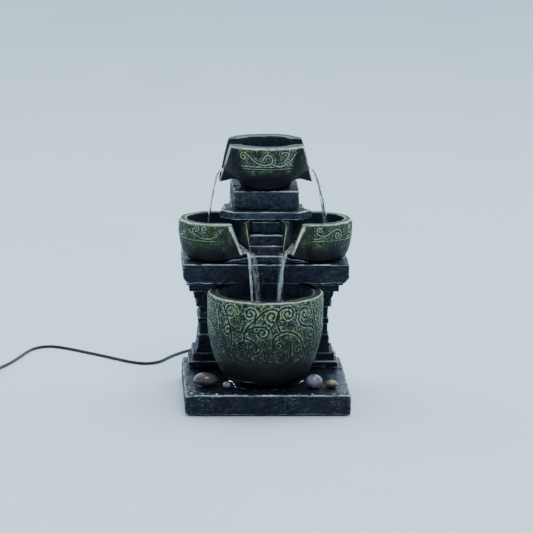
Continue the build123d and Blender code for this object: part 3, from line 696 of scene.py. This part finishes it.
def carved_bowl(node_name, name, voxel, centre, foot_z, shape, seed):
    """Replaces a bowl with a carved and rubbed copy.

    shape holds, in millimetres: rim, inner and height, the bowl's radii and height; band, the heights
    that the carving keeps between; cuts, each (strokes, width, strength), carved in; bands, strokes
    left raised; rings, the heights of plain ring grooves; belly and belly_fade, where the dark
    underside, dark paint with painted shade, ends and how softly; crust, the rough skin's grain and
    height; line, the width of the painted highlight along the rim's edge. ragged is how uneven the rim
    is. rub, crusty, shade, pale, spout_line and foot_line are how strongly the relief is rubbed, the
    skin is dusted, the lower wall is darkened with painted shade, the inside is lightened with painted
    light, and the spouts' and the foot's edges get a painted highlight. spouts holds the compass
    angles, from the front, that the spouts point in, and cut their sloping walls: the slope from
    notch at the rim to tip at tip_z, band, the width of the painted highlight along its edge, plain,
    the degrees of wall without carving to each side, and dark, how far out the dark flanks start at
    the foot and the rim.
    """
    def rough(size, step):
        """Noise over the piece; step keeps its uses of the seed apart."""
        return noise(local, size, seed + step)

    piece = remeshed(node_name, name, voxel)
    mesh = piece.data
    points, normals, edges = mesh_arrays(mesh)
    points = relaxed(points, edges, 2)
    normals = softened(normals, edges)
    level = normals[:, 2]
    rim, tall = shape.rim, shape.height
    local = (points - np.array((centre[0], centre[1], foot_z))) / MM
    radius = np.hypot(local[:, 0], local[:, 1])
    angle = np.arctan2(local[:, 0], -local[:, 1])
    height = local[:, 2]
    outward = (normals[:, 0] * local[:, 0] + normals[:, 1] * local[:, 1]) / (radius + 1e-9)

    # Which points are on the outside, on the inside, by a spout or in the carved band.
    plain = np.zeros(len(points))
    for spout_angle in shape.spouts:
        away = around_the_turn(angle, spout_angle)
        spread = shape.cut.plain
        plain = np.maximum(plain, 1 - ease(math.radians(spread - 6), math.radians(spread), away))
    outer = ease(0.35, 0.7, outward) * ease(0.80, 0.86, radius / rim) * (1 - plain)
    inner = ease(-0.3, -0.6, outward) * (radius < rim - 4)
    inner += (level > 0.6) * (height < tall - 8)
    face, spout_line, flank = spout_lines(shape, local, normals, edges)
    around = angle * rim
    carved = outer * ease(shape.band[0] - 3, shape.band[0] + 1, height)
    carved *= 1 - ease(shape.band[1] - 1.5, shape.band[1], height)
    wanted = carved > 0.02
    above_belly = ease(shape.belly - 4, shape.belly + 8, height)

    # The cast skin, then the carving, all as lift along the normals.
    lift = 0.16 * rough(3.0, 0) + 0.12 * rough(1.6, 1) + 0.35 * rough(18, 2)
    lift += 0.30 * outer * np.abs(rough(9.0, 3)) * above_belly
    grain_size, crust_height = shape.crust
    crust = np.abs(rough(grain_size, 7)) + 0.5 * np.abs(rough(grain_size / 2, 8))
    lift += crust_height * outer * (crust - 0.4) * (0.35 + 0.65 * above_belly)
    groove = np.zeros(len(points))
    beside = np.zeros(len(points))
    broken = 0.35 + 0.65 * ease(-0.4, 0.3, rough(6.0, 9))
    for strokes, width, strength in shape.cuts:
        away = distances(strokes, around, height, wanted)
        cut = np.exp(-((away / width) ** 2))
        ridge = np.exp(-(((away - 2.1 * width) / (0.9 * width)) ** 2)) * broken
        lift += carved * strength * (0.55 * ridge - 0.90 * cut)
        beside = np.maximum(beside, carved * strength * ridge)
        groove = np.maximum(groove, strength * carved * ease(0.25, 0.80, cut))
    if shape.bands:
        away = distances(shape.bands, around, height, wanted)
        band = 1 - ease(0.35, 0.95, away)
        cut = np.exp(-(((away - 1.45) / 0.55) ** 2))
        lift += carved * (0.65 * band - 0.60 * cut)
        groove = np.maximum(groove, 0.75 * carved * ease(0.3, 0.85, cut))
    for ring_height in shape.rings:
        wander = height - ring_height - 0.5 * rough(25, 4)
        cut = np.exp(-((wander / 0.7) ** 2))
        lift += outer * (0.5 * np.exp(-(((wander - 1.4) / 0.8) ** 2)) - 0.7 * cut)
        groove = np.maximum(groove, 0.7 * outer * cut)
    top = ease(tall - 6, tall - 1, height)
    lift -= top * (0.55 + 0.55 * rough(11, 5)) * shape.ragged
    lift -= 0.35 * flank + SKIN
    lift = -np.log1p(np.exp(-SOFT_STOP * lift)) / SOFT_STOP
    put_points(mesh, points + normals * lift[:, None] * MM)

    # What the finish reads: wear and edges from the new relief, painted shade from the heights, painted
    # highlights along the rim, the spout cuts and the foot.
    points, normals, edges = mesh_arrays(mesh)
    reach = shape.belly_fade
    # the dark underside: dark paint with painted shade under the belly's curve
    belly = 1 - ease(shape.belly - reach, shape.belly + reach, height + 4 * rough(9, 6))
    # painted shade: the wall darker towards the bottom
    shade = shape.shade * (1 - ease(0.40 * tall, 0.90 * tall, height))
    worn = ease(0.03, 0.16, bulge_of(points, normals, edges, 2)) * shape.rub
    worn += ease(0.18, 0.7, bulge_of(points, normals, edges, 9)) * 0.5 + 0.42 * beside
    # the rubbed wear is dimmed under the painted shade of the belly and lower wall, inside and on the flanks
    worn *= (1 - 0.9 * np.maximum(belly, 1.5 * shade)) * (1 - 0.8 * np.clip(inner, 0, 1)) * (1 - 0.85 * flank)
    rim_top = ease(tall - 3.5, tall - 1.5, height)
    uneven = 0.6 * rough(7, 10)
    # painted highlight along the rim's outer and inner edges
    outer_rim_highlight = np.exp(-((radius - rim + 1.3 + uneven) / shape.line) ** 2)
    inner_rim_highlight = 0.5 * np.exp(-((radius - shape.inner - 1.8 + uneven) / 0.8) ** 2)
    line = rim_top * np.maximum(outer_rim_highlight, inner_rim_highlight) * (level > 0.15)
    # painted highlight along the foot
    foot = np.exp(-(((height - 7 - 1.5 * rough(14, 13)) / 0.7) ** 2)) * (outward > 0.2)
    foot *= ease(0.0, 0.5, rough(22, 14))
    line = np.maximum.reduce([line, 0.85 * face, shape.spout_line * spout_line, shape.foot_line * foot])
    paint(mesh, "worn", worn)
    paint(mesh, "groove", groove)
    # the underside's dark paint and painted shade, the painted shade of the lower wall and the dark spout
    # flanks
    paint(mesh, "low", np.maximum(np.maximum(belly, shade), 0.92 * flank * (1 - rim_top)))
    paint(mesh, "crusty", np.full(len(points), shape.crusty))
    # how much painted light the inside gets
    paint(mesh, "pale", np.full(len(points), shape.pale))
    paint(mesh, "rim", ease(0.4, 0.7, level) * top)
    paint(mesh, "inside", inner * (1 - rim_top))
    # painted highlights along the rim, the spout cuts and the foot
    paint(mesh, "line", line * (0.55 + 0.45 * ease(-0.5, 0.2, rough(5, 12))))
    mesh.shade_smooth()
    mesh.materials.append(bowl_finish)
    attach(piece, "root")
    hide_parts(node_name)


SKIN = 0.5               # millimetres that the skin lies under the CAD wall
SOFT_STOP = 5.0          # how sharply the lift is held under the CAD wall
bowl_finish = bowl_material()

VINE_WIDTH = 130.0
RESERVOIR_LEAVES = scattered_leaves(RESERVOIR_VINES, VINE_WIDTH, 34, 93, 80, 5)
reservoir_cuts = [
    (repeated(RESERVOIR_VINES, VINE_WIDTH, 3), 0.85, 1.0),
    (repeated(RESERVOIR_LEAVES, VINE_WIDTH, 3), 0.6, 0.6),
]
reservoir_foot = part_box("reservoir_bowl")[0].z
carved_bowl("reservoir_bowl", "carved_reservoir", 1.06, middle("reservoir_bowl"), reservoir_foot, Shape(
    rim=62.0, inner=49.5, height=99.0, bands=[], rings=[], band=(28, 96), belly=36,
    cuts=reservoir_cuts, belly_fade=13, spouts=[], ragged=1.0, crust=(3.4, 1.10), rub=0.55,
    line=0.8, spout_line=0.0, crusty=1.0, shade=0.55, pale=1.0, foot_line=0.30,
), 113)

SIDE_X, SIDE_Y = 53.5, 16.4
SCROLL_PITCH = 41.8
side_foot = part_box("left_bowl")[0].z
side_shape = dict(
    rim=39.9, inner=30.0, height=44.4, cuts=[], rings=[24.0], band=(25, 43), belly=19,
    belly_fade=8, ragged=0.5, crust=(3.0, 0.42), rub=0.80, line=0.9, spout_line=0.9,
    crusty=0.50, shade=0.20, pale=0.16, foot_line=0.0,
    cut=Shape(notch=37.0, tip=52.5, tip_z=12.5, band=2.2, plain=34, dark=(24, 60)),
)
for side, scroll, sign, side_seed in (("left", LEFT_SCROLL, -1, 131), ("right", RIGHT_SCROLL, 1, 149)):
    scrolls = repeated(scroll, SCROLL_PITCH, 3) + repeated(scroll, 5 * SCROLL_PITCH, 2)
    carved_bowl(side + "_bowl", "carved_" + side + "_bowl", 0.8, (sign * SIDE_X * MM, SIDE_Y * MM), side_foot,
                Shape(**side_shape, bands=scrolls, spouts=[-38 * sign]), side_seed)

top_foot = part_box("top_bowl")[0].z
carved_bowl("top_bowl", "carved_top_bowl", 0.85, middle("top_bowl"), top_foot, Shape(
    rim=50.0, inner=33.0, height=49.3, cuts=[], bands=repeated(TOP_SCROLL, 157.1, 2) + TOP_SCROLL,
    rings=[25.0, 27.5], band=(28, 47), belly=23, belly_fade=7, spouts=[-90, 90], ragged=0.6,
    crust=(3.0, 0.50), rub=0.85, line=1.0, spout_line=0.9,
    crusty=0.70, shade=0.05, pale=0.14, foot_line=0.0,
    cut=Shape(notch=40.0, tip=50.6, tip_z=7.3, band=0.9, plain=42, dark=(18, 32)),
), 167)


# ---- pebbles

def pebble_material(name, dark, light, vein):
    """Polished river stone: soft bands, fine speckle and a satin gloss."""
    material, tree, shader = new_material(name)
    bands = grain(tree, 0.006, 3, 0.5, stretch=(2, 1, 0.7), distortion=1.2)
    speckle = grain(tree, 0.0008, 4, 0.7)
    colour = ramp(tree, bands, (0.35, dark), (0.65, light))
    colour = mixed(tree, ramp(tree, speckle, (0.60, 0.0), (0.75, 0.45)), colour, vein)
    gloss = ramp(tree, speckle, (0.3, 0.22), (0.7, 0.34))
    feed(tree, shader, {"Base Color": colour, "Roughness": gloss})
    feed(tree, shader, {"Coat Weight": 0.35, "Coat Roughness": 0.22})
    bump(tree, shader, grain(tree, 0.0009, 3, 0.6), 0.00005)
    return material


def river_pebble(node_name, seed, colours):
    """Replaces a pebble with a slightly uneven, finely meshed one."""
    piece = remeshed(node_name, node_name + "_stone", 0.45)
    mesh = piece.data
    points, normals, edges = mesh_arrays(mesh)
    points = relaxed(points, edges, 3)
    points = points + normals * ((0.35 * noise(points, 8 * MM, seed) - 0.2) * MM)[:, None]
    put_points(mesh, points)
    mesh.shade_smooth()
    mesh.materials.append(pebble_material(node_name + "_finish", *colours))
    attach(piece, "root")
    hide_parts(node_name)


PEBBLES = {
    "pebble_brown": ((0.058, 0.043, 0.044), (0.150, 0.124, 0.128), (0.28, 0.25, 0.27)),
    "pebble_blue": ((0.13, 0.17, 0.24), (0.30, 0.36, 0.46), (0.50, 0.55, 0.65)),
    "pebble_grey": ((0.092, 0.090, 0.120), (0.31, 0.31, 0.39), (0.46, 0.47, 0.57)),
    "pebble_cream": ((0.10, 0.060, 0.035), (0.30, 0.23, 0.13), (0.50, 0.45, 0.30)),
}
for number, (pebble_name, pebble_colours) in enumerate(PEBBLES.items()):
    river_pebble(pebble_name, 200 + number, pebble_colours)


# ---- water

def water_material():
    """Moving water: clear, with white streaks where it carries air; on the drops on the slab the white is a
    painted glint and on the spout films a painted sheen.
    """
    material, tree, shader = new_material("clear_water")
    streaks = grain(tree, 0.0024, 3, 0.55, stretch=(1, 1, 8))
    air = times(tree, painted(tree, "air"), ramp(tree, streaks, (0.42, 0.10), (0.58, 1.0)))
    clear = ramp(tree, air, (0.0, 1.0), (1.0, 0.15))
    tint = ramp(tree, air, (0.0, (0.90, 0.97, 1.0)), (1.0, (0.92, 0.97, 1.0)))
    gloss = ramp(tree, streaks, (0.4, 0.03), (0.7, 0.14))
    feed(tree, shader, {"Base Color": tint, "Roughness": gloss, "Transmission Weight": clear, "IOR": 1.33})
    bump(tree, shader, grain(tree, 0.0035, 2, 0.5, stretch=(1, 1, 3)), 0.00016)
    return material


def grid_mesh(name, grids, caps=True):
    """One mesh over grids, each a list of closed rows of points in millimetres.

    caps closes each grid's first and last row with a face.
    """
    points = []
    faces = []
    for rows in grids:
        first = len(points)
        count = len(rows[0])
        points += [tuple(point) for row in rows for point in np.asarray(row) * MM]
        for lower in range(first, len(points) - count, count):
            upper = lower + count
            for j in range(count):
                k = (j + 1) % count
                faces.append((lower + j, lower + k, upper + k, upper + j))
        if caps:
            faces.append(tuple(reversed(range(first, first + count))))
            faces.append(tuple(range(len(points) - count, len(points))))
    mesh = bpy.data.meshes.new(name)
    mesh.from_pydata(points, [], faces)
    mesh.update()
    return mesh


def directions(spokes):
    """Evenly spaced angles round a whole turn."""
    return 2 * math.pi * np.arange(spokes) / spokes


def circle(centre, reach, height, spokes):
    """A row of points round a centre; reach and height are one number or one for each point."""
    angle = directions(spokes)
    x = centre[0] + reach * np.cos(angle)
    y = centre[1] + reach * np.sin(angle)
    return np.stack([x, y, np.broadcast_to(height, spokes)], axis=1)


def water_piece(name, grids, air, caps=True):
    """A piece of water that stays with the castings; air, one number or one per point, whitens it."""
    mesh = grid_mesh(name, grids, caps)
    piece = add_object(name, mesh)
    paint(mesh, "air", np.broadcast_to(np.asarray(air, float), len(mesh.vertices)))
    mesh.shade_smooth()
    mesh.materials.append(water)
    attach(piece, "root")


def stream(name, start, reach, fall, widths, thickness, seed, turn, air):
    """A falling sheet of water with a thicker rounded edge on each side.

    start is the middle of its upper edge, reach the (x, y) that it travels while it falls and widths
    its width at the top, two thirds down and at the bottom, along a direction turned by turn from X.
    """
    stations, spokes = STREAM_GRID
    angle = directions(spokes)
    side = np.cos(angle)
    rows = []
    for share in np.linspace(0, 1, stations):
        level = share ** 1.6
        travel = math.sqrt(level)
        centre = np.array(start) + (reach[0] * travel, reach[1] * travel, -fall * level)
        half = np.interp(level, (0, 0.65, 1), widths) / 2
        half *= 1 + 0.10 * math.sin(9 * share + seed)
        spin = math.radians(turn + STREAM_TWIST * share * math.sin(seed))
        across = np.array((math.cos(spin), math.sin(spin), 0))
        heading = np.array((reach[0] + 1e-4, reach[1] + 1e-4, -fall * (0.25 + 2 * travel)))
        through = np.cross(across, heading / np.linalg.norm(heading))
        sheet = thickness * (0.35 + EDGE_BEAD * np.abs(side) ** 3) * np.abs(np.sin(angle)) ** 0.7
        sheet *= (1 + 0.35 * np.sin(31 * share + 2.1 * seed + 2 * side) * share) * np.sign(np.sin(angle))
        offset = half * side * (1 + 0.06 * math.sin(23 * share + seed * 3))
        rows.append(centre + np.outer(offset, across) + np.outer(sheet, through))
    water_piece(name, [rows], air)


def pool(name, centre, level, floor, radius, floor_radius, impacts, seed):
    """The water standing in a bowl, with rings and foam spreading from where the streams fall in."""
    stations, spokes = POOL_GRID
    rows = []
    air = []
    for share in np.linspace(0, 1, stations):
        reach = radius * max(share, 0.004)
        row = circle(centre, reach, level, spokes)
        x, y = row[:, 0], row[:, 1]
        ripple = 0.25 * np.sin(x / 3.1 + seed) * np.cos(y / 3.7 + seed)
        foam = np.full(spokes, STILL_AIR)
        for px, py in impacts:
            away = np.hypot(x - px, y - py)
            ripple += 1.1 * np.cos(away * 1.15) * np.exp(-away / 8)
            foam += 0.9 * np.exp(-((away / 7) ** 2))
        row[:, 2] += ripple * min(1, (radius - reach) / 3)
        rows.append(row)
        air.append(foam)
    for share in (0.35, 0.7, 1.0):
        reach = radius + (floor_radius - radius) * share ** 2
        rows.append(circle(centre, reach, level + (floor - level) * share, spokes))
        air.append(np.full(spokes, STILL_AIR))
    water_piece(name, [rows], np.concatenate(air))


def film(name, centre, turn, inner, outer, half_inner, half_outer, z_inner, z_outer, seed):
    """The sheet that runs along a spout to its tip, in millimetres from the bowl's axis."""
    stations, across = FILM_GRID
    heading = np.array((math.cos(math.radians(turn)), math.sin(math.radians(turn))))
    side = np.array((-heading[1], heading[0]))
    v = np.linspace(-1, 1, across)
    rows = []
    for share in np.linspace(0, 1, stations):
        u = inner + (outer - inner) * share
        half = half_inner + (half_outer - half_inner) * share
        floor = z_inner + (z_outer - z_inner) * share
        top = 1.9 + 0.5 * np.sin(u / 2.3 + 2 * v + seed) * np.cos(3 * v + u / 5) + 0.4 * v * v
        lift = np.concatenate([top, np.full(across, 0.3)])
        spots = np.array(centre) + heading * u + np.outer(np.concatenate([v, v[::-1]]) * half, side)
        rows.append(np.column_stack([spots, floor + lift]))
    # the film is half whitened as a painted sheen
    water_piece(name, [rows], 0.5)


def splash(name, centre, level, seed):
    """The broken crown of drops where a stream lands, as one ragged ring with beads on it."""
    random = np.random.default_rng(seed)
    stations, spokes = SPLASH_GRID
    heights = random.uniform(0.2, 1.0, spokes)
    heights = (heights + np.roll(heights, 1) + np.roll(heights, -1)) / 3
    rows = []
    for share in np.linspace(0, 1, stations):
        away = SPLASH_REACH * (0.35 + 0.65 * share) * (0.85 + 0.3 * heights)
        lift = 5.0 * heights * math.sin(math.pi * share) ** 2
        lift = lift + 0.5 * np.sin(9 * share + 3 * directions(spokes))
        rows.append(circle(centre, away, level - 0.4 + np.maximum(lift, 0), spokes))
    for share in (1.0, 0.3):
        rows.append(circle(centre, SPLASH_REACH * (0.35 + 0.65 * share), level - 1.6, spokes))
    water_piece(name, [rows], 0.9)


def beads(name, spots, base):
    """Drops standing on a surface, as low domes in one mesh; each spot is (x, y, radius)."""
    stations, spokes = DROP_GRID
    rises = np.linspace(0, math.pi / 2, stations)
    domes = [[circle((x, y), size * max(math.cos(rise), 0.02), base + 0.95 * size * math.sin(rise), spokes)
              for rise in rises] for x, y, size in spots]
    # the drops are whitened as painted glints
    water_piece(name, domes, 0.85)


def puddle(name, centre, base, inner, outer, thickness):
    """A thin wavy-edged ring of water round a bowl's foot."""
    angle = directions(PUDDLE_SPOKES)
    edge = outer + 2.6 * np.sin(3 * angle + 1.0) + 1.4 * np.sin(7 * angle) + 0.7 * np.sin(17 * angle)
    section = ((0, 0), (0, 1), (0.5, 0.95), (0.85, 0.9), (0.95, 0.7), (1, 0.3), (0.99, 0), (0, 0))
    rows = [circle(centre, inner + (edge - inner) * share, base + thickness * level, PUDDLE_SPOKES)
            for share, level in section]
    water_piece(name, [rows], 0.05, caps=False)


water = water_material()
# Rows along and points round or across each piece of water.
STREAM_GRID = (81, 28)
POOL_GRID = (61, 120)
FILM_GRID = (41, 16)
SPLASH_GRID = (11, 48)
DROP_GRID = (7, 20)
PUDDLE_SPOKES = 160
STILL_AIR = 0.08
STREAM_TWIST = 25.0      # degrees that a stream turns at most while it falls
EDGE_BEAD = 0.9          # how much thicker a stream is at its edges
# Millimetres from here on: places, surface levels and the floors that the water stands on.
SPLASH_REACH = 7.0
WATER_LEVEL, WATER_FLOOR = 109.0, 33.2
SIDE_LEVEL, SIDE_FLOOR = 170.0, 158.2
TOP_LEVEL, TOP_FLOOR = 245.6, 235.2
SLAB_TOP = slab_high.z / MM
RESERVOIR = (-1.2, -25.5)
TOP_BOWL = (0.0, 25.0)
stream("water_top_left", (-47.6, 25.0, 245.0), (-15.4, -3.0), 75, (2.8, 5.2, 2.4), 1.4, 1, turn=60, air=0.30)
stream("water_top_right", (47.8, 25.0, 246.0), (19.6, -3.0), 76, (2.8, 5.4, 2.6), 1.4, 2, turn=-60, air=0.30)
stream("water_left_edge", (-20.6, -25.6, 163.4), (5.0, -9.0), 54, (3.2, 2.8, 2.0), 1.3, 3, turn=30, air=1.0)
stream("water_left_main", (-17.0, -24.0, 163.0), (8.0, -12.0), 54, (6.8, 6.0, 4.8), 0.9, 4, turn=35, air=0.16)
stream("water_right_edge", (21.4, -25.6, 163.4), (-9.6, -9.0), 54, (3.6, 3.2, 2.6), 1.3, 5, turn=-30, air=1.0)
stream("water_right_main", (17.4, -24.6, 163.0), (-4.5, -12.0), 54, (8.0, 7.0, 5.6), 0.9, 6, turn=-35,
       air=0.16)
landings = [(-15.6, -34.6), (-9.0, -36.0), (11.8, -34.6), (12.9, -36.6)]
pool("water_reservoir", RESERVOIR, WATER_LEVEL, WATER_FLOOR, 49.8, 30.0, landings, 7)
pool("water_left_bowl", (-SIDE_X, SIDE_Y), SIDE_LEVEL, SIDE_FLOOR, 30.2, 19.0, [(-63, 22)], 8)
pool("water_right_bowl", (SIDE_X, SIDE_Y), SIDE_LEVEL, SIDE_FLOOR, 30.2, 19.0, [(67.4, 22)], 9)
pool("water_top_bowl", TOP_BOWL, TOP_LEVEL, TOP_FLOOR, 33.2, 23.0, [TOP_BOWL], 10)
splash("splash_left", (-11.5, -35.4), WATER_LEVEL, 21)
splash("splash_right", (12.4, -35.6), WATER_LEVEL, 22)
SLAB_DROPS = [
    (-81, -81, 1.7), (-77, -71, 1.2), (-70, -84, 2.0), (-63, -80, 1.1), (-54, -85, 1.5), (-82, -58, 1.3),
    (-34, -84, 1.1), (33, -82, 1.1), (47, -85, 1.4), (70, -83, 1.1), (81, -77, 1.5), (77, -50, 1.2),
]
beads("slab_drops", SLAB_DROPS, SLAB_TOP - 0.8)
puddle("slab_puddle", RESERVOIR, SLAB_TOP - 1.3, 29.0, 39.0, 1.25)
film("water_left_spout", (-SIDE_X, SIDE_Y), -52, 22, 52.2, 10.5, 3.4, 168.6, 161.9, 11)
film("water_right_spout", (SIDE_X, SIDE_Y), 232, 22, 52.2, 10.5, 3.4, 168.6, 161.9, 12)
film("water_top_left_spout", TOP_BOWL, 180, 24, 48.6, 18.0, 6.8, 243.4, 242.4, 13)
film("water_top_right_spout", TOP_BOWL, 0, 24, 48.6, 18.0, 6.8, 243.4, 242.4, 14)


# ---- strain relief and plain parts

def moulded(name, colour, light, roughness, grain_size=0.0006, depth=0.00006, metallic=0.0):
    """A moulded or machined finish: two close shades, uneven gloss and a fine grain."""
    material, tree, shader = new_material(name)
    shades = ramp(tree, grain(tree, 0.012, 4, 0.6), (0.35, colour), (0.70, light))
    fine = grain(tree, grain_size, 4, 0.65)
    gloss = ramp(tree, fine, (0.3, roughness - 0.08), (0.7, roughness + 0.08))
    feed(tree, shader, {"Base Color": shades, "Roughness": gloss, "Metallic": metallic})
    bump(tree, shader, fine, depth)
    return material


def lathed(name, centre, profile):
    """A piece turned about an axis along Y; profile lists (radius, y) in millimetres, ends included."""
    rows = [circle(centre, radius, y, LATHE_SPOKES)[:, (0, 2, 1)] for radius, y in profile + profile[:1]]
    return add_object(name, grid_mesh(name, [rows], caps=False))


FINISHES = {
    "black_rubber": moulded("soft_black_rubber", (0.018, 0.018, 0.020), (0.030, 0.030, 0.032), 0.72),
    "pipe_plastic": moulded("black_pipe_plastic", (0.028, 0.028, 0.031), (0.045, 0.045, 0.050), 0.45),
    "clear_tube": moulded("milky_tube", (0.55, 0.60, 0.60), (0.72, 0.76, 0.76), 0.30),
    "pump_plastic": moulded("pump_shell_plastic", (0.022, 0.023, 0.026), (0.040, 0.041, 0.046), 0.48),
    "dial_plastic": moulded("grey_dial_plastic", (0.24, 0.25, 0.27), (0.33, 0.34, 0.36), 0.42),
    "impeller_plastic": moulded("white_impeller_plastic", (0.66, 0.67, 0.67), (0.78, 0.79, 0.79), 0.35),
    "potting_resin": moulded("black_potting_resin", (0.012, 0.012, 0.014), (0.022, 0.022, 0.025), 0.22),
    "core_steel": moulded("laminated_core_steel", (0.34, 0.34, 0.36), (0.48, 0.48, 0.50), 0.40, metallic=1.0),
    "winding_copper": moulded("enamelled_copper", (0.50, 0.22, 0.09), (0.68, 0.34, 0.16), 0.32, metallic=1.0),
    "board_green": moulded("green_board", (0.02, 0.13, 0.05), (0.04, 0.22, 0.09), 0.45),
    "shaft_ceramic": moulded("white_ceramic", (0.80, 0.79, 0.76), (0.88, 0.87, 0.85), 0.15),
    "magnet": moulded("dark_ferrite", (0.07, 0.07, 0.08), (0.11, 0.11, 0.12), 0.50),
    "cover_plastic": moulded("slate_cover_plastic", (0.016, 0.020, 0.028), (0.028, 0.033, 0.043), 0.50,
                             0.0008, 0.00012),
    "lead_jacket": moulded("black_lead_jacket", (0.008, 0.008, 0.010), (0.016, 0.016, 0.018), 0.48, 0.0005),
    "tie_plastic": moulded("woven_black_tie", (0.020, 0.020, 0.022), (0.040, 0.040, 0.043), 0.80,
                           0.0007, 0.0002),
    "plug_plastic": moulded("black_plug_grip", (0.015, 0.015, 0.017), (0.028, 0.028, 0.031), 0.55),
    "plug_steel": moulded("plated_steel", (0.55, 0.55, 0.57), (0.68, 0.68, 0.70), 0.25, metallic=1.0),
    "tongue_plastic": moulded("white_tongue", (0.74, 0.74, 0.73), (0.84, 0.84, 0.83), 0.45),
    "contact_brass": moulded("gold_plated_contact", (0.72, 0.50, 0.18), (0.84, 0.64, 0.28), 0.28,
                             metallic=1.0),
}


def finish_plain_nodes():
    """Gives every CAD node that still shows the finish of its material slot."""
    slots = {part["node"]: part["material_slot"] for part in frame["record"]["subparts"]}
    for name, piece in frame["nodes"].items():
        if not piece.hide_render:
            piece.data.materials.clear()
            piece.data.materials.append(FINISHES[slots[name]])


GROMMET = (-30.0, 116.0)     # x and height of the lead's way out
LATHE_SPOKES = 48
RELIEF_RINGS = 4
RING_PITCH = 3.2
RING_TAPER = 0.32
relief_profile = [(1.5, 79), (3.95, 79), (3.95, 84.05), (5.7, 84.05), (5.7, 85.2), (5.3, 85.7)]
for i in range(RELIEF_RINGS):
    y = 85.7 + RING_PITCH * i
    size = 3.6 - RING_TAPER * i
    relief_profile += [(size, y + 0.05), (size - 0.05, y + 1.9)]
    relief_profile += [(size - 0.8, y + 2.1), (size - 0.85, y + 3.0)]
relief_profile += [(2.1, 98.6), (1.9, 99.4), (1.5, 99.6)]
relief = lathed("lead_relief", GROMMET, relief_profile)
relief.data.shade_smooth()
relief.data.materials.append(FINISHES["black_rubber"])
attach(relief, "root")
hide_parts("cord_grommet")
cord.data.materials.append(FINISHES["lead_jacket"])
finish_plain_nodes()


# ---- floor and light

def make_floor():
    """A wide pale floor."""
    mesh = bpy.data.meshes.new("floor")
    reach = 14.0
    corners = [(-reach, -reach, 0), (reach, -reach, 0), (reach, reach, 0), (-reach, reach, 0)]
    mesh.from_pydata(corners, [], [(0, 1, 2, 3)])
    floor = add_object("floor", mesh)
    material, tree, shader = new_material("pale_floor")
    tint = ramp(tree, grain(tree, 0.25, 2, 0.5), (0.3, (0.76, 0.90, 0.98)), (0.7, (0.80, 0.93, 1.0)))
    feed(tree, shader, {"Base Color": tint, "Roughness": 0.9, "Specular IOR Level": 0.1})
    mesh.materials.append(material)


def make_world():
    """A bright soft studio all round, dimmer behind the camera."""
    world = bpy.data.worlds.new("studio")
    scene.world = world
    world.use_nodes = True
    tree = world.node_tree
    direction = node(tree, "ShaderNodeTexCoord").outputs["Generated"]
    forward = node(tree, "ShaderNodeSeparateXYZ", {0: direction}).outputs["Y"]
    share = node(tree, "ShaderNodeMapRange", {"Value": forward, "From Min": -0.5, "From Max": 0.6},
                 interpolation_type="SMOOTHSTEP").outputs[0]
    light = mixed(tree, share, DIM_SIDE, BRIGHT_SIDE)
    feed(tree, tree.nodes["Background"], {"Color": light, "Strength": 1.0})


DIM_SIDE = (0.17, 0.195, 0.22)
BRIGHT_SIDE = (1.30, 1.68, 2.00)


def make_light(name, place, aim, size, power, colour):
    """A large soft square light."""
    data = bpy.data.lights.new(name, "AREA")
    data.size = size
    data.energy = power
    data.color = colour
    light = bpy.data.objects.new(name, data)
    scene.collection.objects.link(light)
    away = Vector(place) - Vector(aim)
    light.location = place
    light.rotation_mode = "QUATERNION"
    light.rotation_quaternion = away.to_track_quat("Z", "Y")


make_floor()
make_world()
light_aim = (0, 0, OBJECT_TOP / 2)
make_light("key_light", (0.6, -1.5, 2.9), light_aim, 1.3, 38, (0.97, 0.985, 1.0))
make_light("left_light", (-2.6, 1.3, 1.0), light_aim, 1.2, 6, (0.86, 0.95, 1.0))
make_light("top_light", (0.3, 0.9, 2.6), light_aim, 1.6, 34, (0.94, 0.98, 1.0))
